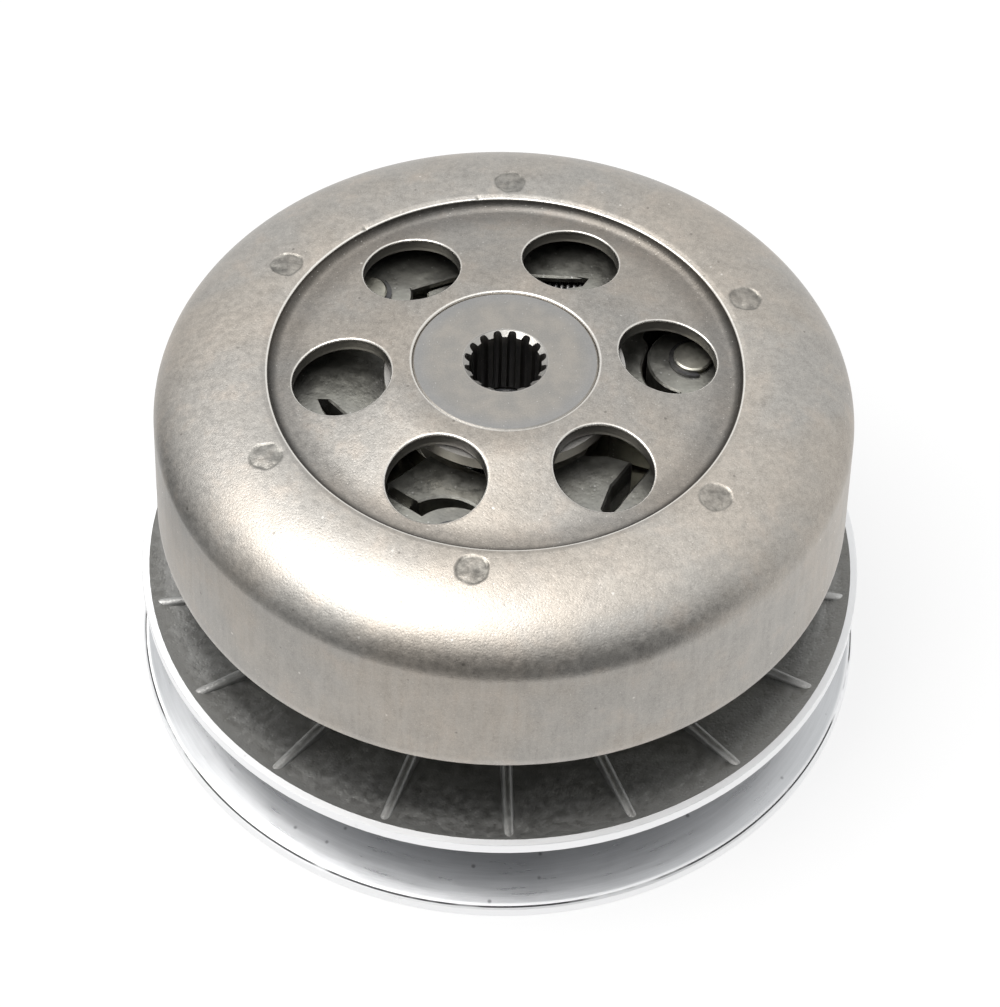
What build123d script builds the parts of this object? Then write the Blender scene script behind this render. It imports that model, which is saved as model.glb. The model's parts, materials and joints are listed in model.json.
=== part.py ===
from build123d import *
import os
from math import atan, atan2, cos, degrees, hypot, pi, radians, sin, sqrt, tan

os.makedirs("parts", exist_ok=True)

# Driven pulley and centrifugal clutch, standing on the rim of its fixed sheave.
# Origin: centre of the rim face it stands on. +Z runs up the shaft to the bell.
# All sizes are millimetres and degrees.

# ---------------------------------------------------------------- sizes
SHAFT_R = 8.5            # shaft through the bearings

# fixed sheave
FS_R = 76.5              # outer radius
FS_FACE_R = 75.95        # outer edge of its belt face
FS_FACE_Z = 2.95
FACE_IN_R = 40.0         # belt faces end here, flat inside
FS_TOP_Z = 11.85
FS_FLANGE_R = 23.0       # steel tube flange pressed into the sheave
RIBS = 18

# sheave tube
TUBE_R = 17.0
TUBE_BORE_R = 12.3
TUBE_SHOULDER_Z = 54.5
TUBE_END_R = 14.0
TUBE_TOP_Z = 64.5
TUBE_FLAT = 12.4         # half width over the two flats of the tube's end

# ball bearing 17 x 30 x 7
BB_R, BB_Z0, BB_Z1 = 15.0, 3.0, 10.0
BALL_PITCH_R, BALL_R, BALLS = 11.75, 2.0, 12

# needle bearing 17 x 23 x 12
NB_R, NB_Z0, NB_Z1 = 11.5, 52.0, 64.0
NEEDLE_R, NEEDLE_PITCH_R, NEEDLES = 1.1, 9.65, 14

# moving sheave
MS_R = 75.5
MS_FACE_Z = 21.3
MS_FLAT_Z = 12.4
MS_RIM_TOP_Z = 23.7
MS_RIM_TOP_R = 73.9      # inner edge of the flat turned on the rim
MS_DISH_R = 69.6         # the dish starts to curve up to the rim here
MS_SEAT_Z = 17.4
SLEEVE_R = 22.0
SLEEVE_BORE_R = 17.05
SLEEVE_TOP_Z = 41.0
RIB_ANGLE = -87.4        # first rib
RIB_HALF = 1.05          # moving sheave's ribs: half their width under the round crest
RIB_CREST_Z = 22.9       # and the height of the crest

# torque cam
TRAVEL = 12.0            # axial travel of the moving sheave
CAM_TURN = 40.0          # degrees turned over that travel
PIN_R = 2.5
PIN_Z = 34.6
SLOT_HALF = 2.75
SLOT_R = 19.5            # middle of the sleeve wall
CAM_ANGLE = 30.0         # where the first guide pin stands

# main spring and its seats
SPRING_R, SPRING_WIRE_R = 26.0, 2.1
SEAT_LOW_Z0, SEAT_LOW_Z1 = 17.7, 19.7
SEAT_TOP_Z0, SEAT_TOP_Z1 = 53.3, 54.5

# clutch carrier
CARRIER_R = 64.0
CARRIER_Z0, CARRIER_Z1 = 48.0, 51.5
DOME_Z0, DOME_Z1 = 54.5, 58.0

# shoes
PIVOT_R = 39.5           # shoe pivots
PIVOT_ANGLE = 16.5
SWING = 2.2              # degrees from rest to full reach
SHOE_Z0, SHOE_Z1 = 52.3, 72.0
ARM_Z0 = 59.0            # underside of heel boss and inner weights
COVER_Z0 = 70.5          # underside of the shoe's thin part over its return spring
HEAD_Z1 = 69.0           # top of the tongue's head, which runs under the next shoe's thin part
LINING_R = 67.2          # lining radius when fully out
SHOE_R = 64.0
BAND_R = 45.0
BOSS_R = 9.2
RELIEF_R = 9.65          # clearance that a tongue has around the next shoe's boss
PIVOT_PIN_R = 4.0

# bell
BELL_R_TOP, BELL_R_LOW = 70.2, 71.0
BELL_IN_R = 67.5
BELL_LOW_Z = 44.2
BELL_T = 3.2
WEB_IN_R = 18.5
WEB_LINE = ((18.9, 82.75), (23.5, 82.70), (43.0, 79.10), (44.85, 79.0))   # top of the web
FLOOR_FILLET = 2.4       # between the web and the wall of the recess
RECESS_R, LIP_Z = 47.3, 80.87
CROWN_R, CROWN_Z = 48.4, 81.2
SHOULDER_B = 12.0
HOLE_PCR, HOLE_R, HOLES, HOLE_ANGLE = 32.5, 9.8, 6, 7.0
HUB_R, HUB_Z = 18.5, 82.5
HUB_LOW_Z = 65.6
SPLINE_TEETH, SPLINE_TIP_R, SPLINE_ROOT_R = 16, 7.2, 8.25
SPLINE_ANGLE = 92.0
MARK_R, MARK_SIZE = 52.3, 3.5
MARK_ANGLES = (90.0, 23.0, -38.5, -95.8, -151.0, 149.5)


def polar(r, a, z=0.0):
    return (r * cos(radians(a)), r * sin(radians(a)), z)


# ---------------------------------------------------------------- fixed sheave
with BuildPart() as fixed_rib:
    # one stiffening rib under the dish, its lower edge just inside the rim plane
    with BuildSketch(Plane.YZ.offset(29.0)):
        with BuildLine():
            Polyline((-0.9, 0.9), (0.9, 0.9), (1.6, 9.4), (-1.6, 9.4), close=True)
        make_face()
    with BuildSketch(Plane.YZ.offset(73.4)):
        with BuildLine():
            Polyline((-0.8, 0.35), (0.8, 0.35), (1.0, 1.9), (-1.0, 1.9), close=True)
        make_face()
    loft(ruled=True)

with BuildPart() as fixed_sheave:
    with BuildSketch(Plane.XZ):
        with BuildLine():
            Polyline(
                (FS_FLANGE_R, 0.8), (28.6, 0.8), (29.4, 1.6), (30.4, 7.4), (32.4, 8.7),
                (72.2, 0.95), (73.2, 0.4), (73.6, 0.0), (76.1, 0.0), (FS_R, 0.35),
                (FS_R, FS_FACE_Z - 0.55), (FS_FACE_R, FS_FACE_Z), (FACE_IN_R, FS_TOP_Z - 0.06),
                (FACE_IN_R - 0.6, FS_TOP_Z), (FS_FLANGE_R, FS_TOP_Z), close=True)
        make_face()
    revolve(axis=Axis.Z)
    with PolarLocations(0, RIBS, start_angle=10.0):
        add(fixed_rib.part)

# ---------------------------------------------------------------- sheave tube
with BuildPart() as sheave_tube:
    with BuildSketch(Plane.XZ):
        with BuildLine():
            Polyline(
                (15.6, 0.8), (22.5, 0.8), (FS_FLANGE_R, 1.3), (FS_FLANGE_R, 11.85),
                (17.6, 11.85), (TUBE_R, 12.45), (TUBE_R, TUBE_SHOULDER_Z),
                (TUBE_END_R, TUBE_SHOULDER_Z), (TUBE_END_R, TUBE_TOP_Z - 0.7),
                (TUBE_END_R - 0.7, TUBE_TOP_Z), (12.1, TUBE_TOP_Z), (NB_R, TUBE_TOP_Z - 0.6),
                (NB_R, NB_Z0 - 0.1), (TUBE_BORE_R, NB_Z0 - 0.9), (TUBE_BORE_R, BB_Z1 + 0.4),
                (13.2, BB_Z1), (BB_R, BB_Z1), (BB_R, BB_Z0),
                (15.9, BB_Z0), (15.9, 1.75), (BB_R, 1.75), (BB_R, 1.4), close=True)
        make_face()
    revolve(axis=Axis.Z)
    # two flats that drive the carrier
    for side in (1, -1):
        with BuildSketch(Plane.XY.offset(TUBE_SHOULDER_Z)):
            with Locations((0, side * (TUBE_FLAT + 2.0))):
                Rectangle(30, 4.0)
        extrude(amount=12.0, mode=Mode.SUBTRACT)
    # cross holes for the guide pins
    for a in (CAM_ANGLE, CAM_ANGLE + 120, CAM_ANGLE + 240):
        with BuildSketch(Plane(origin=(0, 0, PIN_Z), x_dir=(0, 0, 1), z_dir=polar(1, a))):
            Circle(PIN_R)
        extrude(amount=20.0, mode=Mode.SUBTRACT)

with BuildPart() as guide_pins:
    for a in (CAM_ANGLE, CAM_ANGLE + 120, CAM_ANGLE + 240):
        with BuildSketch(Plane(origin=polar(12.6, a, PIN_Z), x_dir=(0, 0, 1), z_dir=polar(1, a))):
            Circle(PIN_R)
        extrude(amount=9.0)
    chamfer(guide_pins.edges().filter_by(GeomType.CIRCLE), 0.35)

# ---------------------------------------------------------------- ball bearing
with BuildPart() as bearing_outer_ring:
    with BuildSketch(Plane.XZ):
        with BuildLine():
            Polyline((13.0, BB_Z0 + 0.2), (13.2, BB_Z0), (14.6, BB_Z0), (BB_R, BB_Z0 + 0.4),
                     (BB_R, BB_Z1 - 0.4), (14.6, BB_Z1), (13.2, BB_Z1), (13.0, BB_Z1 - 0.2),
                     close=True)
        make_face()
        with Locations((BALL_PITCH_R, 6.5)):
            Circle(BALL_R + 0.06, mode=Mode.SUBTRACT)
    revolve(axis=Axis.Z)

with BuildPart() as bearing_inner_ring:
    with BuildSketch(Plane.XZ):
        with BuildLine():
            Polyline((SHAFT_R, BB_Z0 + 0.4), (SHAFT_R + 0.4, BB_Z0), (10.3, BB_Z0),
                     (10.5, BB_Z0 + 0.2), (10.5, BB_Z1 - 0.2), (10.3, BB_Z1),
                     (SHAFT_R + 0.4, BB_Z1), (SHAFT_R, BB_Z1 - 0.4), close=True)
        make_face()
        with Locations((BALL_PITCH_R, 6.5)):
            Circle(BALL_R + 0.06, mode=Mode.SUBTRACT)
    revolve(axis=Axis.Z)

with BuildPart() as bearing_balls:
    with PolarLocations(BALL_PITCH_R, BALLS):
        with Locations((0, 0, 6.5)):
            Sphere(BALL_R)

with BuildPart() as bearing_cage:
    # crown cage: a ring with a pocket for each ball
    with BuildSketch(Plane.XZ):
        with BuildLine():
            Polyline((10.95, 3.7), (12.55, 3.7), (12.55, 7.5), (10.95, 7.5), close=True)
        make_face()
    revolve(axis=Axis.Z)
    with PolarLocations(BALL_PITCH_R, BALLS):
        with Locations((0, 0, 6.5)):
            Sphere(BALL_R + 0.12, mode=Mode.SUBTRACT)

with BuildPart() as bearing_circlip:
    with BuildSketch(Plane.XY.offset(1.85)):
        Circle(15.8)
        Circle(13.9, mode=Mode.SUBTRACT)
        with Locations((0, -14.6)):
            Rectangle(9.0, 4.0, mode=Mode.SUBTRACT)
        # lugs with plier holes
        with Locations((-5.0, -13.0), (5.0, -13.0)):
            Circle(1.7)
        with Locations((-5.0, -13.0), (5.0, -13.0)):
            Circle(0.7, mode=Mode.SUBTRACT)
    extrude(amount=1.1)

# ---------------------------------------------------------------- needle bearing
with BuildPart() as needle_bearing_cup:
    with BuildSketch(Plane.XZ):
        with BuildLine():
            Polyline((9.2, NB_Z0), (NB_R - 0.5, NB_Z0), (NB_R, NB_Z0 + 0.5), (NB_R, NB_Z1 - 0.5),
                     (NB_R - 0.5, NB_Z1), (9.2, NB_Z1), (9.2, NB_Z1 - 0.6), (10.8, NB_Z1 - 0.6),
                     (10.8, NB_Z0 + 0.6), (9.2, NB_Z0 + 0.6), close=True)
        make_face()
    revolve(axis=Axis.Z)

with BuildPart() as needle_rollers:
    with BuildSketch(Plane.XY.offset(NB_Z0 + 1.3)):
        with PolarLocations(NEEDLE_PITCH_R, NEEDLES):
            Circle(NEEDLE_R)
    extrude(amount=NB_Z1 - NB_Z0 - 2.6)

with BuildPart() as needle_cage:
    with BuildSketch(Plane.XY.offset(NB_Z0 + 0.75)):
        Circle(10.55)
        Circle(9.1, mode=Mode.SUBTRACT)
    extrude(amount=NB_Z1 - NB_Z0 - 1.5)
    with BuildSketch(Plane.XY.offset(NB_Z0 + 1.25)):
        with PolarLocations(NEEDLE_PITCH_R, NEEDLES):
            Rectangle(3.4, 2 * NEEDLE_R + 0.12)
    extrude(amount=NB_Z1 - NB_Z0 - 2.5, mode=Mode.SUBTRACT)

# ---------------------------------------------------------------- moving sheave
DISH_SLOPE = 0.1345


def belt_face_z(r):
    return MS_FACE_Z - (MS_R - r) * (MS_FACE_Z - MS_FLAT_Z - 0.06) / (MS_R - FACE_IN_R)


with BuildPart() as moving_rib:
    # level rib with a round crest, which runs out where the dish rises to the rim
    with BuildSketch(Plane.YZ.offset(31.8)):
        with BuildLine():
            Polyline((-RIB_HALF, RIB_CREST_Z - RIB_HALF), (-1.65, 16.2), (1.65, 16.2),
                     (RIB_HALF, RIB_CREST_Z - RIB_HALF))
            ThreePointArc((RIB_HALF, RIB_CREST_Z - RIB_HALF), (0, RIB_CREST_Z),
                          (-RIB_HALF, RIB_CREST_Z - RIB_HALF))
        make_face()
    extrude(amount=72.8 - 31.8)
    # its foot stays inside the sheave's wall, above the belt face
    with BuildSketch(Plane.XZ):
        Polygon((44.0, 10.0), (76.0, 10.0), (76.0, belt_face_z(76.0) + 0.9), (44.0, belt_face_z(44.0) + 0.9), align=None)
    extrude(amount=4.0, both=True, mode=Mode.SUBTRACT)

# centre line of one cam slot, from its low end to its high end
z_low, z_high = PIN_Z - TRAVEL - 0.3, PIN_Z + 0.3
with BuildLine() as cam_line:
    path = Helix(pitch=TRAVEL * 360.0 / CAM_TURN, height=z_high - z_low, radius=SLOT_R)

with BuildPart() as cam_slot:
    # helical slot through the sleeve wall, with round ends
    with BuildSketch(Plane(origin=path @ 0, x_dir=(1, 0, 0), z_dir=path % 0)):
        Rectangle(7.0, 2 * SLOT_HALF)
    sweep(path=path, is_frenet=True)

with BuildPart() as cam_slot_ends:
    for end in (path @ 0, path @ 1):
        a_end = degrees(atan2(end.Y, end.X))
        with BuildSketch(Plane(origin=polar(SLOT_R - 3.5, a_end, end.Z), x_dir=(0, 0, 1),
                               z_dir=polar(1, a_end))):
            Circle(SLOT_HALF)
        extrude(amount=7.0)

with BuildPart() as moving_sheave:
    with BuildSketch(Plane.XZ):
        with BuildLine():
            dish = Line((36.4, MS_SEAT_Z + 0.1), (MS_DISH_R, MS_SEAT_Z + 0.1 + (MS_DISH_R - 36.4) * DISH_SLOPE))
            rise = TangentArc(dish @ 1, (MS_RIM_TOP_R, MS_RIM_TOP_Z - 0.1), tangent=dish % 1)
            Polyline(
                rise @ 1, (MS_RIM_TOP_R + 0.1, MS_RIM_TOP_Z), (MS_R - 0.1, MS_RIM_TOP_Z),
                (MS_R, MS_RIM_TOP_Z - 0.1), (MS_R, MS_FACE_Z), (FACE_IN_R, MS_FLAT_Z + 0.06),
                (FACE_IN_R - 0.6, MS_FLAT_Z), (SLEEVE_R, MS_FLAT_Z), (SLEEVE_R, MS_SEAT_Z - 0.4),
                (SLEEVE_R + 0.4, MS_SEAT_Z), (36.0, MS_SEAT_Z), dish @ 0)
        make_face()
    revolve(axis=Axis.Z)
    with PolarLocations(0, RIBS, start_angle=RIB_ANGLE):
        add(moving_rib.part)

with BuildPart() as sheave_sleeve:
    # steel sleeve pressed into the sheave, running on the tube
    with BuildSketch(Plane.XZ):
        with BuildLine():
            Polyline(
                (20.1, MS_FLAT_Z), (SLEEVE_R, MS_FLAT_Z),
                (SLEEVE_R, 38.6), (SLEEVE_R - 1.5, 38.6), (SLEEVE_R - 1.5, 40.2),
                (SLEEVE_R, 40.2), (SLEEVE_R, SLEEVE_TOP_Z - 0.4),
                (SLEEVE_R - 0.4, SLEEVE_TOP_Z), (19.6, SLEEVE_TOP_Z), (19.6, 38.2),
                (SLEEVE_BORE_R, 38.2), (SLEEVE_BORE_R, 15.6), (19.6, 15.6), (19.6, 12.9),
                close=True)
        make_face()
    revolve(axis=Axis.Z)
    # the pin stands at the top of its slot when the sheaves are closed
    slot_top = degrees(atan2((path @ 1).Y, (path @ 1).X))
    slack = 0.3 * CAM_TURN / TRAVEL
    with PolarLocations(0, 3, start_angle=CAM_ANGLE - slot_top + slack):
        with Locations((0, 0, z_low)):
            add(cam_slot.part, mode=Mode.SUBTRACT)
            add(cam_slot_ends.part, mode=Mode.SUBTRACT)

with BuildPart() as seal_collar:
    with BuildSketch(Plane.XZ):
        with BuildLine():
            Polyline((SLEEVE_R, 17.95), (SLEEVE_R + 0.8, 17.95), (SLEEVE_R + 0.8, 40.6),
                     (SLEEVE_R + 0.5, 40.9), (SLEEVE_R, 40.9), close=True)
        make_face()
    revolve(axis=Axis.Z)

with BuildPart() as sleeve_o_ring:
    with BuildSketch(Plane.XZ):
        with Locations((SLEEVE_R - 0.75, 39.4)):
            Circle(0.72)
    revolve(axis=Axis.Z)

with BuildPart() as sleeve_oil_seals:
    # lip seals in the two ends of the sleeve's bore
    with BuildSketch(Plane.XZ):
        with BuildLine():
            Polyline((17.15, 13.2), (17.6, 12.9), (19.6, 12.9), (19.6, 15.6), (18.6, 15.6),
                     (18.3, 14.2), (17.7, 14.6), (17.15, 14.2), close=True)
        make_face()
        with BuildLine():
            Polyline((17.15, 40.6), (17.6, 40.9), (19.6, 40.9), (19.6, 38.2), (18.6, 38.2),
                     (18.3, 39.6), (17.7, 39.2), (17.15, 39.6), close=True)
        make_face()
    revolve(axis=Axis.Z)

# ---------------------------------------------------------------- main spring
with BuildPart() as lower_spring_seat:
    with BuildSketch(Plane.XZ):
        with BuildLine():
            Polyline((23.1, SEAT_LOW_Z0), (29.4, SEAT_LOW_Z0), (30.4, SEAT_LOW_Z0 + 0.6),
                     (30.4, SEAT_LOW_Z1 + 1.2), (29.0, SEAT_LOW_Z1 + 1.2),
                     (29.0, SEAT_LOW_Z1), (23.1, SEAT_LOW_Z1), close=True)
        make_face()
    revolve(axis=Axis.Z)

with BuildPart() as upper_spring_seat:
    with BuildSketch(Plane.XZ):
        with BuildLine():
            Polyline((23.4, SEAT_TOP_Z0), (28.8, SEAT_TOP_Z0), (28.8, SEAT_TOP_Z1),
                     (23.4, SEAT_TOP_Z1), close=True)
        make_face()
    revolve(axis=Axis.Z)

spring_h = SEAT_TOP_Z0 - SEAT_LOW_Z1
with BuildLine() as coil_line:
    coil = Helix(pitch=7.2, height=spring_h + 3.2, radius=SPRING_R,
                 center=(0, 0, SEAT_LOW_Z1 - 1.6))

with BuildPart() as main_spring:
    with BuildSketch(Plane(origin=coil @ 0, z_dir=coil % 0)):
        Circle(SPRING_WIRE_R)
    sweep(path=coil, is_frenet=True)
    # ground flat at both ends
    with BuildSketch(Plane.XY.offset(SEAT_LOW_Z1 + 0.02)):
        Circle(40)
    extrude(amount=spring_h - 0.04, mode=Mode.INTERSECT)

# ---------------------------------------------------------------- clutch carrier
with BuildPart() as clutch_carrier:
    with BuildSketch(Plane.XZ):
        with BuildLine():
            Polyline((12.0, DOME_Z0), (29.0, DOME_Z0), (30.0, 53.5), (31.2, CARRIER_Z0),
                     (63.5, CARRIER_Z0), (CARRIER_R, 48.5), (CARRIER_R, 51.0),
                     (63.5, CARRIER_Z1), (34.4, CARRIER_Z1), (33.5, 52.4), (32.7, 57.0),
                     (31.7, DOME_Z1), (12.0, DOME_Z1), close=True)
        make_face()
    revolve(axis=Axis.Z)
    # centre hole with two flats
    with BuildSketch(Plane.XY.offset(DOME_Z0 - 1)):
        Circle(TUBE_END_R)
        Rectangle(40, 2 * TUBE_FLAT, mode=Mode.INTERSECT)
    extrude(amount=6, mode=Mode.SUBTRACT)
    # holes for pivot pins and damper posts, and three windows between them
    with BuildSketch(Plane.XY.offset(CARRIER_Z0 - 1)):
        with PolarLocations(PIVOT_R, 3, start_angle=PIVOT_ANGLE):
            Circle(3.4)
        with PolarLocations(50.5, 3, start_angle=PIVOT_ANGLE - 88):
            Circle(3.0)
    extrude(amount=8, mode=Mode.SUBTRACT)
    for a in (PIVOT_ANGLE - 44, PIVOT_ANGLE + 76, PIVOT_ANGLE + 196):
        with BuildSketch(Plane.XY.offset(CARRIER_Z0 - 1)):
            with Locations(Location(polar(48.0, a), a)):
                SlotOverall(22.0, 11.0, rotation=90)
        extrude(amount=8, mode=Mode.SUBTRACT)

with BuildPart() as carrier_lock_nut:
    with BuildSketch(Plane.XY.offset(DOME_Z1)):
        RegularPolygon(radius=18.0, side_count=6, major_radius=False, rotation=11)
        Circle(TUBE_END_R, mode=Mode.SUBTRACT)
    extrude(amount=5.6)
    # corners rounded off at 30 degrees on top
    with BuildSketch(Plane.XZ):
        with BuildLine():
            Polyline((0, DOME_Z1 - 1), (22, DOME_Z1 - 1), (22, 61.9), (18.2, 63.61),
                     (0, 63.61), close=True)
        make_face()
    revolve(axis=Axis.Z, mode=Mode.INTERSECT)

with BuildPart() as pivot_pins:
    with BuildSketch(Plane.XZ):
        with BuildLine():
            Polyline((0, 46.9), (3.9, 46.9), (4.6, 47.4), (4.6, CARRIER_Z0), (3.4, CARRIER_Z0),
                     (3.4, CARRIER_Z1), (5.0, CARRIER_Z1), (5.0, 58.6), (PIVOT_PIN_R, 58.6),
                     (PIVOT_PIN_R, 72.05), (3.0, 72.05), (3.0, 72.75), (3.95, 72.75), (3.95, 73.2),
                     (3.6, 73.45), (0, 73.45), close=True)
        make_face()
    revolve(axis=Axis.Z)

with BuildPart() as pivot_clip:
    # E-clip: a split ring with three inner teeth
    with BuildSketch(Plane.XY.offset(72.1)):
        Circle(4.9)
        Circle(4.0, mode=Mode.SUBTRACT)
        with Locations((-3.7, 0)):
            Rectangle(1.25, 2.4)
        with Locations((0.9, 3.85), (0.9, -3.85)):
            Rectangle(2.4, 1.15)
        with Locations((4.6, 0)):
            Rectangle(3.4, 5.0, mode=Mode.SUBTRACT)
    extrude(amount=0.6)

with BuildPart() as damper_post:
    with BuildSketch(Plane.XZ):
        with BuildLine():
            Polyline((0, 47.2), (3.6, 47.2), (4.0, 47.6), (4.0, CARRIER_Z0), (3.0, CARRIER_Z0),
                     (3.0, 59.2), (2.6, 59.6), (0, 59.6), close=True)
        make_face()
    revolve(axis=Axis.Z)

with BuildPart() as damper_rubber:
    with BuildSketch(Plane.XZ):
        with BuildLine():
            Polyline((3.0, 51.5), (5.2, 51.5), (5.6, 51.9), (5.6, 58.2), (5.2, 58.6),
                     (3.0, 58.6), close=True)
        make_face()
    revolve(axis=Axis.Z)

with BuildPart() as pivot_pin_set:
    with PolarLocations(PIVOT_R, 3, start_angle=PIVOT_ANGLE):
        add(pivot_pins.part)

with BuildPart() as pivot_clip_set:
    with PolarLocations(PIVOT_R, 3, start_angle=PIVOT_ANGLE):
        with Locations(Location((0, 0, 0), (0, 0, -60))):
            add(pivot_clip.part)

with BuildPart() as damper_post_set:
    with PolarLocations(50.5, 3, start_angle=PIVOT_ANGLE - 88):
        add(damper_post.part)

with BuildPart() as damper_rubber_set:
    with PolarLocations(50.5, 3, start_angle=PIVOT_ANGLE - 88):
        add(damper_rubber.part)

# ---------------------------------------------------------------- shoes
# One shoe is drawn with its pivot on +X and its body running clockwise. The outer band
# and the lining are true to the drum when the shoe is fully out, so their centre is
# moved back by the swing about the pivot for the shoe at rest.
_c, _s = cos(radians(-SWING)), sin(radians(-SWING))
BAND_C = (PIVOT_R - PIVOT_R * _c, -PIVOT_R * _s)


def cw(r, p):
    """point at radius r, p degrees clockwise from +X"""
    return (r * cos(radians(p)), -r * sin(radians(p)))


def at_rest(r, p):
    """the same point of the band, brought back from full reach to rest"""
    x, y = cw(r, p)
    x -= PIVOT_R
    return (PIVOT_R + x * _c - y * _s, x * _s + y * _c)


def sector(p0, p1, r=95.0):
    n = 6
    return [(0.0, 0.0)] + [cw(r, p0 + (p1 - p0) * i / n) for i in range(n + 1)]


# return spring between the head of one shoe's tongue and the next shoe's weight, drawn
# beside the shoe on +X: far end on the tongue before it, near end on its own weight
SPRING_Z = 66.0
SPRING_WIRE, SPRING_MEAN_R, SPRING_TURNS = 1.2, 2.9, 15
END_A, END_B = cw(37.5, 27.5), cw(42.5, 80.0)
_ab = Vector(END_B[0] - END_A[0], END_B[1] - END_A[1])
SPRING_HALF = _ab.length / 2
SPRING_PLANE = Plane(origin=((END_A[0] + END_B[0]) / 2, (END_A[1] + END_B[1]) / 2, SPRING_Z),
                     x_dir=_ab.normalized(), z_dir=Vector(_ab.Y, -_ab.X).normalized())


def spin(pt, a):
    x, y = pt
    return (x * cos(radians(a)) - y * sin(radians(a)), x * sin(radians(a)) + y * cos(radians(a)))


# each groove runs from outside the edge to the hole; the far end is on the shoe whose
# pivot is 120 degrees further on, so it is turned back onto this one
_u = _ab.normalized()
SPRING_ENDS = [
    ((END_B[0] - 8.0 * _u.X, END_B[1] - 8.0 * _u.Y), END_B),
    (spin((END_A[0] + 6.5 * _u.X, END_A[1] + 6.5 * _u.Y), -120), spin(END_A, -120)),
]

with BuildPart() as shoe:
    # outer band, full width
    with BuildSketch(Plane.XY.offset(SHOE_Z0)):
        with Locations(BAND_C):
            Circle(SHOE_R)
            Circle(BAND_R, mode=Mode.SUBTRACT)
        with BuildLine():
            Polyline(*sector(-8.0, 103.0), close=True)
        make_face(mode=Mode.INTERSECT)
    extrude(amount=SHOE_Z1 - SHOE_Z0)
    # heel boss, inner weight and its tongue, above the carrier's dome
    with BuildSketch(Plane.XY.offset(ARM_Z0)):
        with Locations((PIVOT_R, 0)):
            Circle(BOSS_R)
        with BuildLine():
            Polyline((PIVOT_R - 2.0, BOSS_R - 0.3), (49.0, 7.6), (52.0, 7.0), cw(52.0, 18.0),
                     cw(46.0, 15.0), (PIVOT_R, -BOSS_R + 0.1), close=True)
        make_face()
        with BuildLine():
            a1 = [cw(21.8, 60 + i * 4.0) for i in range(23)]
            a2 = [cw(32.6, 150 - i * 4.5) for i in range(11)]
            Polyline(cw(30.4, 49.5), cw(25.4, 52.5), *a1, *a2, cw(33.6, 103.0),
                     cw(50.0, 101.0), cw(50.0, 74.0), cw(35.3, 73.0), cw(31.4, 63.5),
                     close=True)
        make_face()
        # room for the next shoe's boss, from rest to full reach
        with Locations(cw(PIVOT_R, 120.0), at_rest(PIVOT_R, 120.0)):
            Circle(RELIEF_R, mode=Mode.SUBTRACT)
        with BuildLine():
            p, q = Vector(*cw(PIVOT_R, 120.0)), Vector(*at_rest(PIVOT_R, 120.0))
            d = (q - p).normalized()
            m = Vector(-d.Y, d.X) * RELIEF_R
            Polyline(p + m, q + m, q - m, p - m, close=True)
        make_face(mode=Mode.SUBTRACT)
    extrude(amount=SHOE_Z1 - ARM_Z0)
    # thin part from the boss to the weight, over the return spring
    with BuildSketch(Plane.XY.offset(COVER_Z0)):
        with BuildLine():
            Polyline((38.0, -2.0), (34.5, -7.2), (30.2, -17.6), cw(34.4, 42.0), cw(34.2, 55.0),
                     cw(35.2, 64.0), cw(37.0, 71.0), cw(38.0, 76.0), cw(50.0, 76.0),
                     cw(50.6, 60.0), cw(50.6, 45.0), cw(50.6, 30.0), cw(50.0, 14.0),
                     (48.0, -5.0), close=True)
        make_face()
    extrude(amount=SHOE_Z1 - COVER_Z0)
    chamfer(shoe.faces().sort_by(Axis.Z)[-1].edges().filter_by(lambda e: e.length > 4.0), 0.4)
    # the tongue's head, which carries the return spring's far end
    with BuildSketch(Plane.XY.offset(ARM_Z0)):
        with BuildLine():
            Polyline(cw(23.6, 141.0), cw(23.6, 148.5), cw(33.0, 150.4), cw(41.0, 149.5),
                     cw(41.6, 143.5), cw(33.0, 139.8), cw(28.6, 139.5), close=True)
        make_face()
    extrude(amount=HEAD_Z1 - ARM_Z0)
    # pivot bore
    with BuildSketch(Plane.XY.offset(ARM_Z0 - 10)):
        with Locations((PIVOT_R, 0)):
            Circle(PIVOT_PIN_R + 0.05)
    extrude(amount=30, mode=Mode.SUBTRACT)
    # pocket for the damper
    with BuildSketch(Plane.XY.offset(SHOE_Z0 - 1)):
        with Locations(cw(50.5, 88.0)):
            Circle(6.0)
        with Locations(at_rest(50.5, 88.0)):
            Circle(6.0)
        with BuildLine():
            p, q = Vector(*cw(50.5, 88.0)), Vector(*at_rest(50.5, 88.0))
            d = (q - p).normalized()
            m = Vector(-d.Y, d.X)
            Polyline(p + m * 6, q + m * 6, q - m * 6, p - m * 6, close=True)
        make_face()
    extrude(amount=61.0 - SHOE_Z0 + 1, mode=Mode.SUBTRACT)

    # groove and hole for each end of the return springs; the one in the weight runs under
    # its top
    for ((gx, gy), (hx, hy)), top in zip(SPRING_ENDS, (68.2, 75.0)):
        d = Vector(hx - gx, hy - gy)
        with BuildSketch(Plane.XY.offset(65.1)):
            with Locations(Location(((gx + hx) / 2, (gy + hy) / 2, 0),
                                    (0, 0, degrees(atan2(d.Y, d.X))))):
                Rectangle(d.length, 2.2)
            with Locations((hx, hy)):
                Circle(1.1)
        extrude(amount=top - 65.1, mode=Mode.SUBTRACT)
        with BuildSketch(Plane.XY.offset(61.0)):
            with Locations((hx, hy)):
                Circle(1.1)
        extrude(amount=6, mode=Mode.SUBTRACT)

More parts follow.
